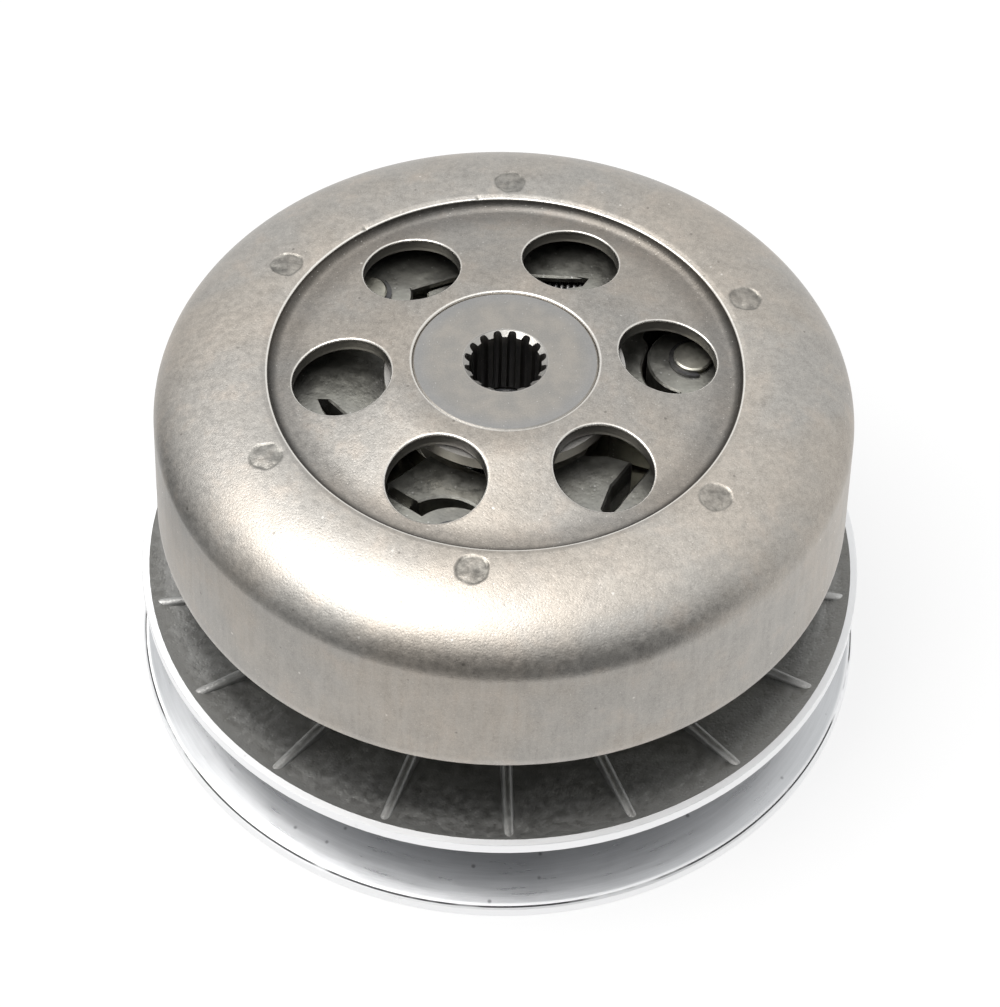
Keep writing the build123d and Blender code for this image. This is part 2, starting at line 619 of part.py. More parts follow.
with BuildPart() as lining:
    with BuildSketch(Plane.XY.offset(53.3)):
        with Locations(BAND_C):
            Circle(LINING_R)
            Circle(SHOE_R, mode=Mode.SUBTRACT)
        with BuildLine():
            Polyline(*sector(13.0, 98.0), close=True)
        make_face(mode=Mode.INTERSECT)
        # wear groove across the middle of the lining
        with Locations(Location((*cw(67.0, 55.5), 0), (0, 0, -55.5))):
            Rectangle(4.0, 2.0, mode=Mode.SUBTRACT)
    extrude(amount=69.6 - 53.3)
    chamfer(lining.edges().filter_by(GeomType.CIRCLE).filter_by(
        lambda e: abs(e.radius - LINING_R) < 0.01), 0.4)

with BuildPart() as return_spring:
    # close-wound body
    with BuildSketch(SPRING_PLANE):
        with BuildLine():
            n, w, rm = SPRING_TURNS, SPRING_WIRE, SPRING_MEAN_R
            z0 = -n * w / 2
            top = [(z0, rm - w / 2)]
            for i in range(n):
                top += [(z0 + w * (i + t), rm + w / 2 * u) for t, u in
                        ((0.08, 0.55), (0.25, 0.92), (0.5, 1.0), (0.75, 0.92), (0.92, 0.55))]
            top += [(z0 + n * w, rm - w / 2)]
            Polyline(*top, close=True)
        make_face()
    revolve(axis=Axis(SPRING_PLANE.origin, SPRING_PLANE.x_dir))
    # a wire end at each side: out of the coil to the axis, along it, and down its hole
    for sgn in (-1, 1):
        half = n * w / 2
        reach = SPRING_HALF
        with BuildLine(SPRING_PLANE):
            wire = FilletPolyline((sgn * (half - 0.6), rm), (sgn * (half + 1.0), rm - 0.2),
                                  (sgn * (half + 3.0), 0.0), (sgn * reach, 0.0),
                                  radius=0.9)
        with BuildSketch(Plane(origin=wire @ 0, z_dir=wire % 0)):
            Circle(w / 2)
        sweep(path=wire)
        tip = SPRING_PLANE.from_local_coords(Vector(sgn * reach, 0, 0))
        with BuildSketch(Plane.XY.offset(SPRING_Z)):
            with Locations((tip.X, tip.Y)):
                Circle(w / 2)
        extrude(amount=-4.0)
        with Locations((tip.X, tip.Y, SPRING_Z)):
            Sphere(w / 2)

shoes, linings, springs = [], [], []
for i in range(3):
    turn = Rot(0, 0, PIVOT_ANGLE + 120 * i)
    shoes.append(turn * shoe.part)
    linings.append(turn * lining.part)
    springs.append(turn * return_spring.part)

# ---------------------------------------------------------------- bell
Z_SPRINGLINE = CROWN_Z - SHOULDER_B
with BuildPart() as clutch_bell:
    with BuildSketch(Plane.XZ):
        with BuildLine():
            web = FilletPolyline(*WEB_LINE, radius=28)
            foot = JernArc(web @ 1, (1, 0), FLOOR_FILLET, 70)
            lip = Polyline(foot @ 1, (RECESS_R - 0.1, LIP_Z - 0.13), (RECESS_R + 0.2, LIP_Z),
                           (CROWN_R, CROWN_Z - 0.12))
            sh = EllipticalCenterArc((CROWN_R, Z_SPRINGLINE), BELL_R_TOP - CROWN_R,
                                     SHOULDER_B - 0.12, start_angle=0, arc_size=90)
            wall = Line((BELL_R_TOP, Z_SPRINGLINE), (BELL_R_LOW, BELL_LOW_Z + 0.6))
            rim = Polyline(wall @ 1, (BELL_R_LOW - 0.5, BELL_LOW_Z), (BELL_IN_R + 0.5, BELL_LOW_Z),
                           (BELL_IN_R, BELL_LOW_Z + 0.5), (BELL_IN_R, Z_SPRINGLINE))
            inner = EllipticalCenterArc((CROWN_R, Z_SPRINGLINE), BELL_IN_R - CROWN_R,
                                        8.8, start_angle=0, arc_size=90)
            under = Polyline((CROWN_R, Z_SPRINGLINE + 8.8), (48.4, 76.0), (47.8, 75.75),
                             (43.0, 75.9), (24.0, 79.4), (WEB_IN_R, 79.5),
                             (WEB_IN_R, WEB_LINE[0][1] - 0.4), web @ 0)
        make_face()
    revolve(axis=Axis.Z)
    # six round holes, pierced down the axis
    with BuildSketch(Plane.XY.offset(70)):
        with PolarLocations(HOLE_PCR, HOLES, start_angle=HOLE_ANGLE):
            Circle(HOLE_R)
    extrude(amount=20, mode=Mode.SUBTRACT)
    hole_rims = clutch_bell.edges().filter_by(
        lambda e: 22 < hypot(e.center().X, e.center().Y) < 44
        and e.center().Z > 80.6 - 0.19 * (hypot(e.center().X, e.center().Y) - 32.5)
        and any(hypot((e @ 0).X - c[0], (e @ 0).Y - c[1]) < HOLE_R + 0.05 for c in
                (polar(HOLE_PCR, HOLE_ANGLE + 60 * i) for i in range(6))))
    chamfer(hole_rims, 0.35)
    # six shallow round punch marks on the crown
    for a in MARK_ANGLES:
        t = sqrt(1 - ((MARK_R - CROWN_R) / (BELL_R_TOP - CROWN_R)) ** 2)
        z = Z_SPRINGLINE + (SHOULDER_B - 0.12) * t
        slope = ((SHOULDER_B - 0.12) ** 2 * (MARK_R - CROWN_R)
                 / ((BELL_R_TOP - CROWN_R) ** 2 * (z - Z_SPRINGLINE)))
        nrm = Vector(slope * cos(radians(a)), slope * sin(radians(a)), 1).normalized()
        with BuildSketch(Plane(origin=Vector(*polar(MARK_R, a, z)) - nrm * 0.22, z_dir=nrm)):
            Circle(MARK_SIZE)
        extrude(amount=2.0, mode=Mode.SUBTRACT)

with BuildPart() as splined_hub:
    with BuildSketch(Plane.XZ):
        with BuildLine():
            Polyline((0, HUB_LOW_Z), (11.6, HUB_LOW_Z), (12.2, HUB_LOW_Z + 0.6), (12.2, 75.2),
                     (13.0, 76.2), (23.4, 76.2), (24.0, 76.8), (24.0, 79.38),
                     (HUB_R - 0.02, 79.48), (HUB_R - 0.02, HUB_Z - 0.35),
                     (HUB_R - 0.4, HUB_Z), (0, HUB_Z), close=True)
        make_face()
    revolve(axis=Axis.Z)
    # splined bore
    with BuildSketch(Plane.XY.offset(HUB_LOW_Z - 1)):
        Circle(SPLINE_TIP_R)
        with PolarLocations(0, SPLINE_TEETH, start_angle=SPLINE_ANGLE + 180.0 / SPLINE_TEETH):
            Polygon((SPLINE_TIP_R - 0.8, -0.92), (SPLINE_TIP_R + 0.15, -0.90),
                    (SPLINE_ROOT_R - 0.35, -0.74), (SPLINE_ROOT_R - 0.08, -0.48),
                    (SPLINE_ROOT_R, 0.0), (SPLINE_ROOT_R - 0.08, 0.48),
                    (SPLINE_ROOT_R - 0.35, 0.74), (SPLINE_TIP_R + 0.15, 0.90),
                    (SPLINE_TIP_R - 0.8, 0.92), align=None)
    extrude(amount=20, mode=Mode.SUBTRACT)
    # lead-in chamfers at both mouths
    with BuildSketch(Plane.XZ):
        with BuildLine():
            Polyline((0, HUB_Z - 1.0), (7.1, HUB_Z - 1.0), (8.35, HUB_Z - 0.1), (8.45, HUB_Z),
                     (8.45, HUB_Z + 1), (0, HUB_Z + 1), close=True)
        make_face()
        with BuildLine():
            Polyline((0, HUB_LOW_Z + 1.2), (7.2, HUB_LOW_Z + 1.2), (8.4, HUB_LOW_Z),
                     (8.4, HUB_LOW_Z - 1), (0, HUB_LOW_Z - 1), close=True)
        make_face()
    revolve(axis=Axis.Z, mode=Mode.SUBTRACT)

# ---------------------------------------------------------------- write the pieces
fixed_sheave.part.label = "fixed_sheave"
export_step(fixed_sheave.part, "parts/fixed_sheave.step")
sheave_tube.part.label = "sheave_tube"
export_step(sheave_tube.part, "parts/sheave_tube.step")
guide_pins.part.label = "cam_guide_pins"
export_step(guide_pins.part, "parts/cam_guide_pins.step")
bearing_outer_ring.part.label = "ball_bearing_outer_ring"
export_step(bearing_outer_ring.part, "parts/ball_bearing_outer_ring.step")
bearing_inner_ring.part.label = "ball_bearing_inner_ring"
export_step(bearing_inner_ring.part, "parts/ball_bearing_inner_ring.step")
bearing_balls.part.label = "ball_bearing_balls"
export_step(bearing_balls.part, "parts/ball_bearing_balls.step")
bearing_cage.part.label = "ball_bearing_cage"
export_step(bearing_cage.part, "parts/ball_bearing_cage.step")
bearing_circlip.part.label = "bearing_circlip"
export_step(bearing_circlip.part, "parts/bearing_circlip.step")
needle_bearing_cup.part.label = "needle_bearing_cup"
export_step(needle_bearing_cup.part, "parts/needle_bearing_cup.step")
needle_rollers.part.label = "needle_rollers"
export_step(needle_rollers.part, "parts/needle_rollers.step")
needle_cage.part.label = "needle_cage"
export_step(needle_cage.part, "parts/needle_cage.step")
moving_sheave.part.label = "moving_sheave"
export_step(moving_sheave.part, "parts/moving_sheave.step")
sheave_sleeve.part.label = "sheave_sleeve"
export_step(sheave_sleeve.part, "parts/sheave_sleeve.step")
seal_collar.part.label = "seal_collar"
export_step(seal_collar.part, "parts/seal_collar.step")
sleeve_o_ring.part.label = "sleeve_o_ring"
export_step(sleeve_o_ring.part, "parts/sleeve_o_ring.step")
sleeve_oil_seals.part.label = "sleeve_oil_seals"
export_step(sleeve_oil_seals.part, "parts/sleeve_oil_seals.step")
lower_spring_seat.part.label = "lower_spring_seat"
export_step(lower_spring_seat.part, "parts/lower_spring_seat.step")
upper_spring_seat.part.label = "upper_spring_seat"
export_step(upper_spring_seat.part, "parts/upper_spring_seat.step")
main_spring.part.label = "main_spring"
export_step(main_spring.part, "parts/main_spring.step")
clutch_carrier.part.label = "clutch_carrier"
export_step(clutch_carrier.part, "parts/clutch_carrier.step")
carrier_lock_nut.part.label = "carrier_lock_nut"
export_step(carrier_lock_nut.part, "parts/carrier_lock_nut.step")
pivot_pin_set.part.label = "shoe_pivot_pins"
export_step(pivot_pin_set.part, "parts/shoe_pivot_pins.step")
pivot_clip_set.part.label = "pivot_pin_clips"
export_step(pivot_clip_set.part, "parts/pivot_pin_clips.step")
damper_post_set.part.label = "damper_posts"
export_step(damper_post_set.part, "parts/damper_posts.step")
damper_rubber_set.part.label = "damper_rubbers"
export_step(damper_rubber_set.part, "parts/damper_rubbers.step")
for i in range(3):
    shoes[i].label = f"clutch_shoe_{i + 1}"
    export_step(shoes[i], f"parts/clutch_shoe_{i + 1}.step")
    linings[i].label = f"shoe_lining_{i + 1}"
    export_step(linings[i], f"parts/shoe_lining_{i + 1}.step")
    springs[i].label = f"return_spring_{i + 1}"
    export_step(springs[i], f"parts/return_spring_{i + 1}.step")
clutch_bell.part.label = "clutch_bell"
export_step(clutch_bell.part, "parts/clutch_bell.step")
splined_hub.part.label = "splined_hub"
export_step(splined_hub.part, "parts/splined_hub.step")
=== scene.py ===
import json
import math

import bmesh
import bpy
import numpy as np
from mathutils import Matrix, Vector
from mathutils import noise as mnoise


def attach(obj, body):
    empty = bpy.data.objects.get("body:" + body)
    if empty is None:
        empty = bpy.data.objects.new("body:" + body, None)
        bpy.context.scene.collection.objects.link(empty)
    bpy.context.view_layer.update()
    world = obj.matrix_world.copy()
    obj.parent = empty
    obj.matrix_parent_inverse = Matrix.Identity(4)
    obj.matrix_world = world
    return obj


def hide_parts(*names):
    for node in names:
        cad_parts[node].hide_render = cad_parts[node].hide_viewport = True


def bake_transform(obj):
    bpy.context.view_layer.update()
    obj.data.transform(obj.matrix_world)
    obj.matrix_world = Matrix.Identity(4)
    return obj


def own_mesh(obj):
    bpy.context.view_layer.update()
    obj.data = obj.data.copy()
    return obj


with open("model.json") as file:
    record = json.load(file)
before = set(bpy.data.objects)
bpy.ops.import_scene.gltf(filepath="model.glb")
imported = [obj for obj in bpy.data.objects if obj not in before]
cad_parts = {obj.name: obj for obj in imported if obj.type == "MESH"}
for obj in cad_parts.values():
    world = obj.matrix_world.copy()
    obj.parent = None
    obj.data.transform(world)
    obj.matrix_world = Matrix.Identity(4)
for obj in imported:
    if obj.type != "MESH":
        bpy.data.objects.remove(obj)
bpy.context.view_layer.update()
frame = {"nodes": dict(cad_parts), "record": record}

NODES = frame["nodes"]
scene = bpy.context.scene
scene.view_settings.view_transform = "Standard"
scene.view_settings.look = "None"
scene.view_settings.exposure = 0.0
scene.view_settings.gamma = 1.0


# ------------------------------------------------------------------ camera
def rot(axis, a):
    return np.array(Matrix.Rotation(a, 3, axis))


ELEV, DIST, FOCAL = 0.8228249, 0.6387682, 115.4103
PAN, TILT, ROLL = 0.00049046, 0.04437275, 0.02763358
back = np.array([0, -math.cos(ELEV), math.sin(ELEV)])
forward = -back
right = np.array([1.0, 0, 0])
down = np.cross(forward, right)
R = rot("Z", ROLL) @ rot("X", TILT) @ rot("Y", PAN) @ np.array([right, down, forward])
cam_data = bpy.data.cameras.new("camera")
cam_data.sensor_fit = "AUTO"
cam_data.sensor_width = 36.0
cam_data.lens = FOCAL
cam_data.clip_start, cam_data.clip_end = 0.05, 30
cam = bpy.data.objects.new("camera", cam_data)
scene.collection.objects.link(cam)
place = Vector(DIST * back) + Vector((0, 0, 0.0825))
m = Matrix.Identity(4)
for i in range(3):
    m[i][0], m[i][1], m[i][2], m[i][3] = R[0][i], -R[1][i], -R[2][i], place[i]
cam.matrix_world = m
scene.camera = cam


# ------------------------------------------------------------------ node helpers
class Graph:
    """A material with a Principled shader and short calls for the usual nodes. Lengths are millimetres."""

    def __init__(self, name):
        self.mat = bpy.data.materials.new(name)
        self.mat.use_nodes = True
        self.t = self.mat.node_tree
        self.t.nodes.clear()
        out = self.t.nodes.new("ShaderNodeOutputMaterial")
        self.bsdf = self.t.nodes.new("ShaderNodeBsdfPrincipled")
        self.t.links.new(self.bsdf.outputs[0], out.inputs[0])
        tc = self.t.nodes.new("ShaderNodeTexCoord")
        self.co = self.vec("MULTIPLY", tc.outputs["Object"], (1000.0, 1000.0, 1000.0))
        self._sep = None

    def put(self, node, socket, value):
        s = node.inputs[socket]
        if isinstance(value, bpy.types.NodeSocket):
            self.t.links.new(value, s)
        elif value is not None:
            s.default_value = value

    def vec(self, op, a, b):
        n = self.t.nodes.new("ShaderNodeVectorMath")
        n.operation = op
        self.put(n, 0, a)
        self.put(n, 1, b)
        return n.outputs[0]

    def math(self, op, a, b=None, c=None, clamp=False):
        n = self.t.nodes.new("ShaderNodeMath")
        n.operation = op
        n.use_clamp = clamp
        self.put(n, 0, a)
        if b is not None:
            self.put(n, 1, b)
        if c is not None:
            self.put(n, 2, c)
        return n.outputs[0]

    def xyz(self):
        if self._sep is None:
            n = self.t.nodes.new("ShaderNodeSeparateXYZ")
            self.t.links.new(self.co, n.inputs[0])
            x, y, z = n.outputs
            rr = self.math("SQRT", self.math("ADD", self.math("MULTIPLY", x, x), self.math("MULTIPLY", y, y)))
            self._sep = x, y, z, rr
        return self._sep

    def join(self, x, y, z):
        n = self.t.nodes.new("ShaderNodeCombineXYZ")
        self.put(n, 0, x)
        self.put(n, 1, y)
        self.put(n, 2, z)
        return n.outputs[0]

    def noise(self, scale, detail=3.0, rough=0.55, at=None, distortion=0.0):
        n = self.t.nodes.new("ShaderNodeTexNoise")
        self.put(n, "Vector", at or self.co)
        self.put(n, "Scale", scale)
        self.put(n, "Detail", detail)
        self.put(n, "Roughness", rough)
        self.put(n, "Distortion", distortion)
        return n.outputs[0]

    def cells(self, scale, at=None, rnd=1.0, feature="F1"):
        n = self.t.nodes.new("ShaderNodeTexVoronoi")
        n.feature = feature
        self.put(n, "Vector", at or self.co)
        self.put(n, "Scale", scale)
        self.put(n, "Randomness", rnd)
        s = None
        if feature != "DISTANCE_TO_EDGE":
            s = self.t.nodes.new("ShaderNodeSeparateColor")
            self.t.links.new(n.outputs["Color"], s.inputs[0])
        return n.outputs["Distance"], (s.outputs if s else None)

    def span(self, v, a, b, lo=0.0, hi=1.0, smooth=True):
        n = self.t.nodes.new("ShaderNodeMapRange")
        n.interpolation_type = "SMOOTHSTEP" if smooth else "LINEAR"
        n.clamp = True
        self.put(n, "Value", v)
        for k, x in (("From Min", a), ("From Max", b), ("To Min", lo), ("To Max", hi)):
            self.put(n, k, x)
        return n.outputs[0]

    def mix(self, f, a, b, how="MIX"):
        n = self.t.nodes.new("ShaderNodeMixRGB")
        n.blend_type = how
        self.put(n, 0, f)
        self.put(n, 1, a if isinstance(a, bpy.types.NodeSocket) else (*a, 1.0))
        self.put(n, 2, b if isinstance(b, bpy.types.NodeSocket) else (*b, 1.0))
        return n.outputs[0]

    def grey(self, v):
        n = self.t.nodes.new("ShaderNodeCombineColor")
        for i in range(3):
            self.put(n, i, v)
        return n.outputs[0]

    def normal(self):
        g = self.t.nodes.new("ShaderNodeNewGeometry")
        tr = self.t.nodes.new("ShaderNodeVectorTransform")
        tr.vector_type, tr.convert_from, tr.convert_to = "NORMAL", "WORLD", "OBJECT"
        self.t.links.new(g.outputs["Normal"], tr.inputs[0])
        s = self.t.nodes.new("ShaderNodeSeparateXYZ")
        self.t.links.new(tr.outputs[0], s.inputs[0])
        return s.outputs

    def attribute(self, name):
        n = self.t.nodes.new("ShaderNodeAttribute")
        n.attribute_name = name
        return n.outputs["Fac"]

    def bump(self, height, strength, mm, under=None):
        n = self.t.nodes.new("ShaderNodeBump")
        n.inputs["Strength"].default_value = strength
        n.inputs["Distance"].default_value = mm * 0.001
        self.t.links.new(height, n.inputs["Height"])
        if under is not None:
            self.t.links.new(under, n.inputs["Normal"])
        return n.outputs[0]

    def done(self, color=None, metallic=None, rough=None, normal=None, **fixed):
        for name, v in (("Base Color", color), ("Metallic", metallic), ("Roughness", rough), ("Normal", normal)):
            if v is not None:
                self.put(self.bsdf, name, v if isinstance(v, (bpy.types.NodeSocket, float)) else (*v, 1.0))
        for k, v in fixed.items():
            self.bsdf.inputs[k.replace("_", " ")].default_value = v
        return self.mat


def grain(g, size, depth, contrast):
    """Tumbled and shot-blasted surface: fine grain and soft dents. Returns (fine noise, mid noise, cell distance, cell
    colour, bump height).
    """
    fine = g.noise(1.0 / size, 4, 0.62)
    mid = g.noise(0.34 / size, 3, 0.55)
    dist, col = g.cells(0.75 / size)
    dent = g.span(dist, 0.0, 0.62, 0.0, 1.0)
    h = g.math("ADD", g.math("MULTIPLY", fine, 0.55), g.math("MULTIPLY", dent, 0.45))
    h = g.math("MULTIPLY", g.math("ADD", h, g.math("MULTIPLY", mid, 0.12)), depth)
    return fine, mid, dist, col, h


# ------------------------------------------------------------------ materials
def blasted_steel():
    g = Graph("blasted_steel")
    x, y, z, rr = g.xyz()
    nx, ny, nz = g.normal()
    broad = g.noise(0.035, 3, 0.55, distortion=0.4)
    cloud = g.noise(0.16, 4, 0.6)
    fine, mid, dist, col, h = grain(g, 0.42, 1.0, 0.5)
    tone = g.mix(g.span(broad, 0.36, 0.64), (0.400, 0.364, 0.322), (0.375, 0.357, 0.332))
    tone = g.mix(g.span(cloud, 0.5, 0.72, 0.0, 0.45), tone, (0.395, 0.345, 0.298))
    speck = g.noise(4.6, 2, 0.5)
    light = g.math("ADD", g.span(mid, 0.3, 0.7, 0.90, 1.10, False), g.span(fine, 0.25, 0.75, -0.09, 0.09, False))
    light = g.math("ADD", light, g.span(cloud, 0.3, 0.7, -0.08, 0.08, False))
    light = g.math("ADD", light, g.span(speck, 0.3, 0.7, -0.13, 0.13, False))
    # the recess kept more of its scale and is darkened by painted shade, most of all in the corner under the lip
    web = g.math("MULTIPLY", g.span(rr, 47.16, 47.12), g.span(z, 78.3, 78.7))
    light = g.math("MULTIPLY", light, g.span(web, 0.0, 1.0, 1.0, 0.86))
    light = g.math("MULTIPLY", light, g.span(g.math("MULTIPLY", web, g.span(rr, 37.0, 45.2)), 0.0, 1.0, 1.0, 0.70))
    light = g.math("MULTIPLY", light, g.span(g.math("MULTIPLY", web, g.span(rr, 44.6, 46.8)), 0.0, 1.0, 1.0, 0.42))
    tone = g.mix(1.0, tone, g.grey(light), "MULTIPLY")
    # small flats that were hit hard shine, and a few pits are dark
    spot = g.math("MULTIPLY", g.span(dist, 0.12, 0.30, 1.0, 0.0), g.span(col[0], 0.86, 0.93))
    d2, c2 = g.cells(0.52)
    spot2 = g.math("MULTIPLY", g.span(d2, 0.07, 0.19, 1.0, 0.0), g.span(c2[1], 0.955, 0.975))
    pit = g.math("MULTIPLY", g.span(d2, 0.08, 0.22, 1.0, 0.0), g.span(c2[2], 0.955, 0.975))
    bright = g.math("MAXIMUM", g.math("MULTIPLY", spot, 0.30), g.math("MULTIPLY", spot2, 0.6))
    tone = g.mix(bright, tone, (0.80, 0.77, 0.72))
    tone = g.mix(g.math("MULTIPLY", pit, 0.6), tone, (0.12, 0.11, 0.10))
    # the drawn wall has faint upright streaks
    wall = g.span(g.math("ABSOLUTE", nz), 0.10, 0.45, 1.0, 0.0)
    ang = g.math("ARCTAN2", y, x)
    streak = g.noise(1.0, 4, 0.65, at=g.join(g.math("MULTIPLY", ang, 42.0), g.math("MULTIPLY", z, 0.06), 0.0))
    tone = g.mix(g.math("MULTIPLY", wall, g.span(streak, 0.35, 0.7, 0.0, 0.30)), tone, (0.50, 0.475, 0.44))
    # punched marks and knocks are darker inside, and painted shade darkens the ring at the foot of each dent
    mark = g.attribute("mark")
    tone = g.mix(g.math("MULTIPLY", mark, 0.78), tone, g.mix(g.span(mid, 0.35, 0.65), (0.085, 0.085, 0.078), (0.205, 0.200, 0.182)))
    # painted shade darkens the pierced walls and the inside of the bell
    shade_inside = g.attribute("shade_inside")
    tone = g.mix(g.math("MULTIPLY", shade_inside, 0.92), tone, (0.098, 0.095, 0.090))
    # polished edges, brightened further by a painted highlight on the rounded lips and hole rims
    edge_wear_and_sheen = g.attribute("edge_wear_and_sheen")
    tone = g.mix(g.math("MULTIPLY", edge_wear_and_sheen, 0.75), tone, (0.86, 0.83, 0.78))
    rough = g.math("ADD", g.span(mid, 0.3, 0.7, 0.36, 0.46, False), g.math("MULTIPLY", bright, -0.14))
    rough = g.math("ADD", rough, g.math("MULTIPLY", edge_wear_and_sheen, -0.12))
    rough = g.math("ADD", rough, g.math("MULTIPLY", web, -0.03))
    n = g.bump(h, 0.27, 0.12)
    n = g.bump(g.math("ADD", g.noise(0.16, 3, 0.5), g.math("MULTIPLY", streak, wall)), 0.12, 0.32, n)
    return g.done(tone, 1.0, rough, n)


def turned_steel():
    g = Graph("turned_steel")
    x, y, z, rr = g.xyz()
    nx, ny, nz = g.normal()
    fine, mid, dist, col, h = grain(g, 0.30, 1.0, 0.4)
    cloud = g.noise(0.22, 4, 0.6)
    lines = g.noise(1.0, 3, 0.7, at=g.join(g.math("MULTIPLY", rr, 3.2), g.math("MULTIPLY", z, 3.2), 0.0))
    tone = g.mix(g.span(cloud, 0.35, 0.68), (0.285, 0.273, 0.255), (0.330, 0.308, 0.280))
    # cooler towards the rim of the disc; the bore's mouth and the disc's outer edge are brightened, partly as rubbed
    # wear and partly as painted highlight
    flat_top = g.span(nz, 0.9, 0.98)
    tone = g.mix(g.math("MULTIPLY", g.math("MULTIPLY", g.span(rr, 14.0, 18.2), flat_top), 0.6), tone, (0.265, 0.268, 0.272))
    mouth_wear_and_highlight = g.math("MULTIPLY", g.span(rr, 8.75, 8.35), g.span(z, 81.0, 81.7))
    tone = g.mix(g.math("MULTIPLY", mouth_wear_and_highlight, 0.55), tone, (0.46, 0.45, 0.43))
    # painted highlight on the disc's outer edge, with rubbed wear
    tone = g.mix(g.math("MULTIPLY", g.span(rr, 18.05, 18.3), 0.5), tone, (0.52, 0.50, 0.47))
    # painted shade down the bore
    bore_shade = g.math("MULTIPLY", g.span(rr, 8.5, 8.2), g.span(z, 81.4, 79.0))
    tone = g.mix(g.math("MULTIPLY", bore_shade, 0.7), tone, (0.105, 0.103, 0.10))
    tone = g.mix(1.0, tone, g.grey(g.math("ADD", g.span(fine, 0.25, 0.75, 0.89, 1.09, False), g.span(lines, 0.3, 0.7, -0.03, 0.03, False))), "MULTIPLY")
    spot = g.math("MULTIPLY", g.span(dist, 0.15, 0.3, 1.0, 0.0), g.span(col[0], 0.95, 0.97))
    tone = g.mix(g.math("MULTIPLY", spot, 0.5), tone, (0.72, 0.71, 0.69))
    n = g.bump(h, 0.16, 0.10)
    n = g.bump(lines, 0.12, 0.06, n)
    return g.done(tone, 1.0, g.span(mid, 0.3, 0.7, 0.36, 0.44, False), n)


def machined(g, tone, dark, freq=2.6):
    """Turning lines that follow the radius, and the marks a chip leaves."""
    x, y, z, rr = g.xyz()
    lines = g.noise(1.0, 5, 0.75, at=g.join(g.math("MULTIPLY", rr, freq), 0.0, 0.0))
    band = g.noise(1.0, 2, 0.5, at=g.join(g.math("MULTIPLY", rr, 0.35), 7.0, 0.0))
    patch = g.noise(0.05, 3, 0.6)
    smear = g.noise(1.0, 4, 0.65, at=g.join(g.math("MULTIPLY", g.math("ARCTAN2", y, x), 5.0), g.math("MULTIPLY", rr, 0.8), 0.0))
    v = g.math("ADD", g.span(lines, 0.25, 0.75, 0.90, 1.08, False), g.span(band, 0.3, 0.7, -0.05, 0.05, False))
    v = g.math("ADD", v, g.span(smear, 0.3, 0.7, -0.07, 0.07, False))
    c = g.mix(g.span(patch, 0.35, 0.65, 0.0, 0.35), tone, dark)
    c = g.mix(1.0, c, g.grey(v), "MULTIPLY")
    return c, lines, smear


def cast(g, tone, dark, size=0.55):
    fine, mid, dist, col, h = grain(g, size, 1.0, 0.5)
    cloud = g.noise(0.09, 4, 0.6)
    c = g.mix(g.span(cloud, 0.35, 0.68), tone, dark)
    v = g.math("ADD", g.span(mid, 0.3, 0.7, 0.90, 1.10, False), g.span(fine, 0.25, 0.75, -0.05, 0.05, False))
    c = g.mix(1.0, c, g.grey(v), "MULTIPLY")
    return c, mid, h, dist, col


def aluminium(name, moving):
    g = Graph(name)
    x, y, z, rr = g.xyz()
    nx, ny, nz = g.normal()
    mc, lines, smear = machined(g, (0.50, 0.505, 0.515), (0.42, 0.425, 0.435))
    if moving:
        cc, mid, h, dist, col = cast(g, (0.250, 0.250, 0.245), (0.320, 0.320, 0.315))
        # as-cast back, with painted light brightening the zone where it curves up to the rim, beyond the bell's shade
        outer = g.math("MULTIPLY", g.span(rr, 64.5, 73.2), g.span(nz, 0.4, 0.7))
        cc = g.mix(g.math("MULTIPLY", outer, 0.85), cc, (0.56, 0.555, 0.54))
        cast_mask = g.math("MULTIPLY", g.span(rr, 73.98, 73.90), g.span(nz, -0.25, 0.02))
    else:
        cc, mid, h, dist, col = cast(g, (0.30, 0.30, 0.305), (0.38, 0.38, 0.385))
        cast_mask = g.math("MULTIPLY", g.span(rr, 73.35, 73.15), g.span(nz, 0.2, -0.05))
    d2, c2 = g.cells(0.30)
    fleck = g.math("MULTIPLY", g.span(d2, 0.05, 0.19, 1.0, 0.0), g.span(c2[0], 0.86, 0.90))
    mc = g.mix(g.math("MULTIPLY", fleck, 0.75), mc, (0.14, 0.14, 0.145))
    rim = g.span(rr, 73.8 if moving else 75.2, 74.0 if moving else 75.7)
    mc = g.mix(g.math("MULTIPLY", rim, 0.85), mc, (0.93, 0.93, 0.935))
    if not moving:
        # painted shade: a dark line where the belt face meets the rim
        painted_edge_shade = g.math("MULTIPLY", g.span(rr, 75.86, 75.94), g.span(rr, 76.22, 76.14))
        painted_edge_shade = g.math("MULTIPLY", painted_edge_shade, g.span(g.noise(0.05, 3, 0.6), 0.36, 0.50))
        mc = g.mix(g.math("MULTIPLY", g.math("MULTIPLY", painted_edge_shade, g.span(nz, 0.3, 0.6)), 0.93), mc, (0.03, 0.03, 0.032))
    tone = g.mix(cast_mask, mc, cc)
    r_m = g.math("ADD", g.span(smear, 0.3, 0.7, 0.26, 0.36, False), g.math("MULTIPLY", fleck, 0.25))
    r_c = g.span(mid, 0.3, 0.7, 0.44, 0.58, False)
    r_m = g.math("ADD", r_m, g.math("MULTIPLY", g.math("MULTIPLY", rim, g.span(nz, 0.5, 0.9)), 0.34))
    rough = g.math("ADD", g.math("MULTIPLY", cast_mask, r_c), g.math("MULTIPLY", g.math("SUBTRACT", 1.0, cast_mask), r_m))
    height = g.math("ADD", g.math("MULTIPLY", g.math("MULTIPLY", cast_mask, h), 1.5),
                    g.math("MULTIPLY", g.math("SUBTRACT", 1.0, cast_mask), g.math("MULTIPLY", lines, 0.55)))
    n = g.bump(height, 0.32, 0.12)
    return g.done(tone, 1.0, rough, n)


